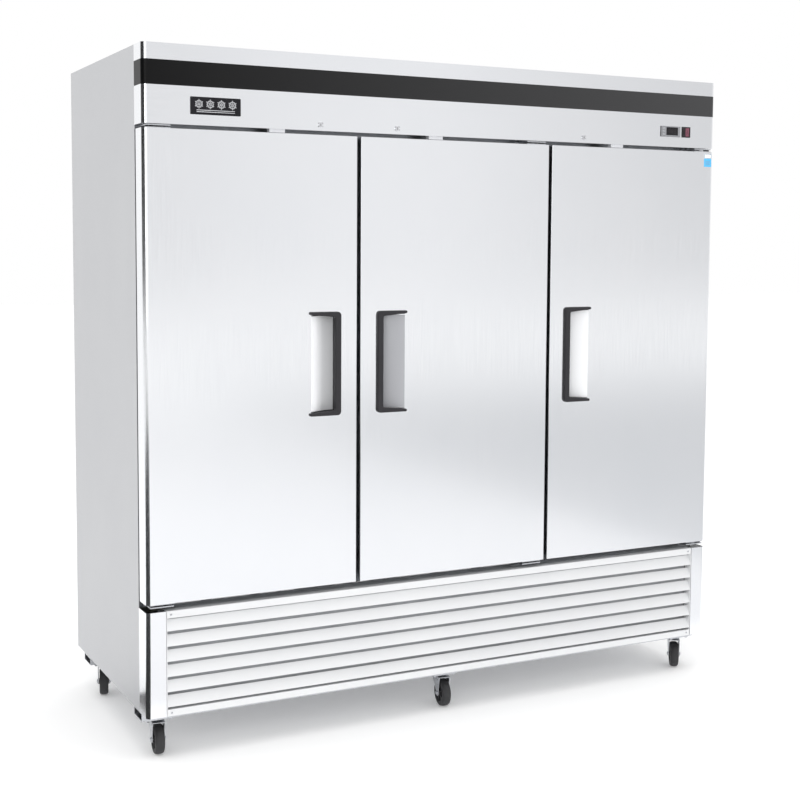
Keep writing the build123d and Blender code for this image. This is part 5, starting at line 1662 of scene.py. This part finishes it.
# ------------------------------------------------------------------------------ cold room
@dataclass
class ColdRoom:
    """Shelves on slotted strips, lights, evaporator cover, coil and its fans.

    Attributes:
        wire: Radius of a shelf's cross wires.
        rim: Radius of a shelf's rim wire.
        spacing: From one cross wire to the next.
        slot_pitch: From one slot of a strip to the next.
    """

    wire: float = 0.0017
    rim: float = 0.0032
    spacing: float = 0.0245
    slot_pitch: float = 0.0254

    def build(self) -> None:
        """Builds and dresses everything inside."""
        dress("shelf_supports", SUPPORT_STEEL)
        dress("evaporator_cover", COVER_WHITE)
        dress("evaporator_coil", FIN_ALUMINIUM)
        self.weld_shelves()
        self.punch_strips()
        self.fit_lights()
        self.guard_fans()
        self.bend_tubes()
        for side in ("left", "right"):
            FanRotor(f"evaporator_fan_{side}", f"{side}_evaporator_fan", (0, 0, 1), 0.0905).build()

    def weld_shelves(self) -> None:
        """Welds each shelf from a double rim and cross wires."""
        mesh = bmesh.new()
        for low, high in islands("shelves"):
            r = self.rim
            ends = ((low.x + r, high.x - r), (low.y + r, high.y - r))
            for z in (low.z + r, high.z - r):
                for y in ends[1]:
                    rod(mesh, (ends[0][0], y, z), (ends[0][1], y, z), r, 10)
                for x in ends[0]:
                    rod(mesh, (x, ends[1][0], z), (x, ends[1][1], z), r, 10)
                for x in ends[0]:
                    for y in ends[1]:
                        place = Matrix.Translation((x, y, z))
                        bmesh.ops.create_icosphere(mesh, subdivisions=2, radius=r, matrix=place)
            count = round((ends[0][1] - ends[0][0]) / self.spacing)
            top = high.z - self.wire
            for step in range(1, count):
                x = ends[0][0] + (ends[0][1] - ends[0][0]) * step / count
                rod(mesh, (x, ends[1][0], top), (x, ends[1][1], top), self.wire, 8)
            for share in (0.25, 0.5, 0.75):
                y = ends[1][0] + (ends[1][1] - ends[1][0]) * share
                z = top - self.wire - 0.0026
                rod(mesh, (ends[0][0], y, z), (ends[0][1], y, z), 0.0026, 8)
        piece(mesh, "wire_shelves", "cabinet", SHELF_EPOXY, ("shelves",), 40.0)

    def punch_strips(self) -> None:
        """Marks the row of slots down every strip."""
        mesh = bmesh.new()
        for low, high in islands("shelf_supports"):
            x, y = self.face_x(low, high), (low.y + high.y) / 2
            count = int((high.z - low.z) / self.slot_pitch)
            for step in range(1, count):
                z = low.z + step * self.slot_pitch
                block(
                    mesh, (x - 0.00015, y - 0.0025, z - 0.0065),
                    (x + 0.00015, y + 0.0025, z + 0.0065),
                )
        piece(mesh, "strip_slots", "cabinet", SLOT_DARK)

    def faces_right(self, low: Vector) -> bool:
        """Whether a strip stands on the left side of its bay and so faces right."""
        lefts = {round(box[0].x, 4) for box in islands("shelves")}
        return any(abs(low.x + 0.012 - x) < 0.008 for x in lefts)

    def face_x(self, low: Vector, high: Vector) -> float:
        """x of a strip's slotted face, six millimetres from its wall."""
        return low.x + 0.0060 if self.faces_right(low) else high.x - 0.0060

    def fit_lights(self) -> None:
        """Fits a rounded lens between two end caps over every bay."""
        lens, caps = bmesh.new(), bmesh.new()
        for low, high in islands("interior_lights"):
            block(lens, (low.x + 0.011, low.y, low.z), (high.x - 0.011, high.y, high.z), 0.0035, 4)
            for x0, x1 in ((low.x, low.x + 0.012), (high.x - 0.012, high.x)):
                block(
                    caps, (x0, low.y + 0.0004, low.z + 0.0004), (x1, high.y - 0.0004, high.z),
                    0.0015,
                )
        piece(lens, "light_lenses", "cabinet", LIGHT_LENS, ("interior_lights",))
        piece(caps, "light_end_caps", "cabinet", SWITCH_GREY)

    def guard_fans(self) -> None:
        """Adds a wire guard under each fan and the cover's screws."""
        low, high = corners("evaporator_cover")
        guards, screws = bmesh.new(), bmesh.new()
        for side in ("left", "right"):
            x, y, _ = JOINTS[f"{side}_evaporator_fan_spin"]["pos_m"]
            for radius in (0.020, 0.036, 0.052, 0.068, 0.084, 0.100):
                wire = 0.0012
                ring = [(radius - wire, 0), (radius, -wire), (radius + wire, 0), (radius, wire)]
                lathe(guards, ring, (x, y, low.z - 0.0022), (0, 0, 1), 48)
            for step in range(4):
                angle = math.radians(45 + 90 * step)
                run = Vector((math.cos(angle), math.sin(angle), 0))
                start = Vector((x, y, low.z - 0.0036))
                rod(guards, tuple(start + run * 0.018), tuple(start + run * 0.106), 0.0014, 10)
                screw_head(screws, tuple(start + run * 0.107), (0, 0, -1), 0.0036)
        for step in range(9):
            x = low.x + 0.02 + (high.x - low.x - 0.04) * step / 8
            screw_head(screws, (x, high.y - 0.012, low.z + 0.0002), (0, 0, -1), 0.0034)
        piece(guards, "fan_guards", "cabinet", SHELF_EPOXY, (), 50.0)
        piece(screws, "cover_screws", "cabinet", ZINC)

    def bend_tubes(self) -> None:
        """Adds the copper return bends at both ends of the coil."""
        low, high = max(islands("evaporator_coil"), key=lambda box: box[1].x - box[0].x)
        rows = [low.z + (high.z - low.z) * share for share in (0.14, 0.38, 0.62, 0.86)]
        mesh = bend_returns((low, high), 0.0, (0.2, 0.5, 0.8), rows, 0.020, 0.0045)
        piece(mesh, "coil_return_bends", "cabinet", COPPER, (), 50.0)


@dataclass
class FanRotor:
    """Moulded fan rotor with swept, twisted blades.

    Attributes:
        node: The frame node it stands for.
        body: The body it rides on.
        axis: Direction of its shaft.
        tip: Radius at the blade tips.
        hub: Radius of the hub.
        bore: Radius of the bore.
        height: Length of the hub.
        blades: How many blades it has.
    """

    node: str
    body: str
    axis: Point
    tip: float
    hub: float = 0.022
    bore: float = 0.0031
    height: float = 0.020
    blades: int = 5

    def build(self) -> None:
        """Builds the rotor in place of its plain one."""
        spot = next(j["pos_m"] for j in JOINTS.values() if j["child"] == self.body)
        turn = Vector(self.axis).to_track_quat("Z", "Y").to_matrix().to_4x4()
        mesh = bmesh.new()
        hub = [
            (self.bore, 0.0), (self.hub - 0.002, 0.0), (self.hub, 0.002),
            (self.hub, self.height - 0.004), (self.hub - 0.004, self.height),
            (self.bore + 0.003, self.height), (self.bore, self.height - 0.001),
        ]
        lathe(mesh, hub, (0, 0, 0), (0, 0, 1), 36)
        for step in range(self.blades):
            self.sweep_blade(mesh, 2 * math.pi * step / self.blades)
        bmesh.ops.transform(mesh, matrix=Matrix.Translation(spot) @ turn, verts=mesh.verts)
        piece(
            mesh, f"{self.node}_rotor", self.body, FAN_BLACK, (self.node,), 50.0
        )

    def sweep_blade(self, mesh: bmesh.types.BMesh, start: float) -> None:
        """Adds one blade: a grid wrapped round the hub, twisted and thickened."""
        made = bmesh.ops.create_grid(mesh, x_segments=8, y_segments=6, size=1.0)
        for vert in made["verts"]:
            share, chord = (vert.co.x + 1) / 2, vert.co.y
            reach = self.hub - 0.0015 + (self.tip - self.hub + 0.0015) * share
            half = 0.30 + 0.16 * math.sin(math.pi * min(share * 1.15, 1.0) * 0.62)
            half *= 1.0 if share < 0.8 else 1.0 - 0.6 * (share - 0.8) ** 2 * 10
            angle = start + 0.30 * share + chord * half
            lift = self.height * (0.5 + 0.40 * chord * (1 - 0.45 * share) - 0.05 * chord**2)
            vert.co = (reach * math.cos(angle), reach * math.sin(angle), lift)
        faces = list({face for vert in made["verts"] for face in vert.link_faces})
        bmesh.ops.solidify(mesh, geom=faces, thickness=0.0016)


# ------------------------------------------------------------------------------ machine
@dataclass
class Machine:
    """Condensing unit behind the grille, and the cord gland in the back panel.

    Attributes:
        pipe_radius: Radius of the copper lines.
        fin_pitch: From one condenser fin to the next.
    """

    pipe_radius: float = 0.0048
    fin_pitch: float = 0.0042

    def nearest(self, size: Point) -> tuple[Vector, Vector]:
        """Box of the machine's solid whose size is nearest to the one given."""
        boxes = islands("condensing_unit")
        return min(boxes, key=lambda box: (box[1] - box[0] - Vector(size)).length)

    def build(self) -> None:
        """Dresses the machine and adds the condenser fan's rotor, fins, lines, feet and the gland
        nut.
        """
        dress("condensing_unit", MACHINE_BLACK)
        FanRotor("condenser_fan", "condenser_fan", (0, 1, 0), 0.0985).build()
        self.lay_fins()
        self.run_lines()
        self.detail_compressor()
        self.fit_gland()

    def lay_fins(self) -> None:
        """Lays the close aluminium fins and copper bends of the condenser."""
        low, high = self.nearest(CONDENSER_SIZE)
        mesh = bmesh.new()
        count = round((high.x - low.x + 0.004) / self.fin_pitch)
        for step in range(count + 1):
            x = low.x - 0.002 + (high.x - low.x + 0.004) * step / count
            block(
                mesh, (x - 0.0002, low.y - 0.0012, low.z + 0.001),
                (x + 0.0002, high.y - 0.001, high.z - 0.001),
            )
        piece(mesh, "condenser_fins", "cabinet", FIN_ALUMINIUM)
        levels = [low.z + (high.z - low.z) * (step + 0.5) / 6 for step in range(6)]
        mesh = bend_returns((low, high), 0.003, (0.28, 0.72), levels, 0.016, 0.0042)
        piece(mesh, "condenser_bends", "cabinet", COPPER, (), 50.0)

    def run_lines(self) -> None:
        """Runs the copper lines from the compressor to the condenser and the receiver."""
        a, b = self.nearest(COMPRESSOR_SIZE)
        c, d = self.nearest(CONDENSER_SIZE)
        e, f = self.nearest(RECEIVER_SIZE)
        middle = (a + b) / 2
        mesh = bmesh.new()
        hot = [
            (middle.x + 0.070, middle.y - 0.030, a.z + 0.120),
            (middle.x + 0.110, middle.y - 0.030, a.z + 0.120),
            (middle.x + 0.120, middle.y - 0.060, a.z + 0.180),
            (c.x - 0.040, d.y + 0.060, d.z - 0.030),
            (c.x - 0.034, d.y - 0.020, d.z - 0.020), (c.x - 0.002, d.y - 0.020, d.z - 0.020),
        ]
        cool = [
            ((e.x + f.x) / 2, (e.y + f.y) / 2, f.z - 0.002),
            ((e.x + f.x) / 2, (e.y + f.y) / 2, f.z + 0.026),
            ((e.x + f.x) / 2 - 0.060, (e.y + f.y) / 2 - 0.050, f.z + 0.030),
            (c.x - 0.052, d.y + 0.020, c.z + 0.060), (c.x - 0.030, c.y + 0.020, c.z + 0.018),
            (c.x - 0.002, c.y + 0.020, c.z + 0.018),
        ]
        suction = [
            (middle.x - 0.060, middle.y + 0.040, a.z + 0.110),
            (middle.x - 0.110, middle.y + 0.050, a.z + 0.110),
            (middle.x - 0.130, middle.y + 0.060, a.z + 0.180),
            (middle.x - 0.130, middle.y + 0.110, b.z + 0.090),
        ]
        for path, radius in ((hot, self.pipe_radius), (cool, 0.0042), (suction, 0.0064)):
            pipe(mesh, path, radius)
        piece(mesh, "copper_lines", "cabinet", COPPER, (), 50.0)

    def detail_compressor(self) -> None:
        """Adds the weld seam, feet and terminal cover of the compressor."""
        low, high = self.nearest(COMPRESSOR_SIZE)
        middle = (low + high) / 2
        radius = (high.x - low.x) / 2
        mesh = bmesh.new()
        seam = [
            (radius - 0.002, -0.004), (radius + 0.003, -0.003),
            (radius + 0.003, 0.003), (radius - 0.002, 0.004),
        ]
        lathe(mesh, seam, (middle.x, middle.y, low.z + 0.105), (0, 0, 1), 64)
        block(
            mesh, (middle.x + radius - 0.012, middle.y - 0.034, low.z + 0.040),
            (middle.x + radius + 0.022, middle.y + 0.034, low.z + 0.092), 0.005, 4,
        )
        for step in range(4):
            angle = math.radians(45 + 90 * step)
            x = middle.x + math.cos(angle) * (radius + 0.006)
            y = middle.y + math.sin(angle) * (radius + 0.006)
            foot = [
                (0.003, 0.0), (0.015, 0.0), (0.013, 0.006), (0.015, 0.012), (0.010, 0.014),
                (0.003, 0.014),
            ]
            lathe(mesh, foot, (x, y, low.z), (0, 0, 1), 24)
        piece(mesh, "compressor_fittings", "cabinet", MACHINE_BLACK, (), 40.0)

    def fit_gland(self) -> None:
        """Adds the ribbed nut of the cord gland behind the panel."""
        low, high = self.nearest(GLAND_SIZE)
        middle = (low + high) / 2
        mesh = bmesh.new()
        start = (middle.x, low.y - 0.006, middle.z)
        rod(mesh, start, (middle.x, low.y + 0.004, middle.z), 0.0175, 6)
        piece(mesh, "gland_nut", "cabinet", DARK_ABS)


def main() -> None:
    """Builds every sub-assembly in order."""
    logging.basicConfig(level=logging.INFO, format="%(message)s")
    Studio().build()
    Cabinet().build()
    Grille().build()
    Badge().build()
    ControlPanel().build()
    for name in DOOR_NAMES:
        Door(name).build()
        Lock(name).build()
    Sticker().build()
    for name in CASTER_NAMES:
        Caster(name).build()
    bolt_casters()
    ColdRoom().build()
    Machine().build()


if __name__ == "__main__":
    main()
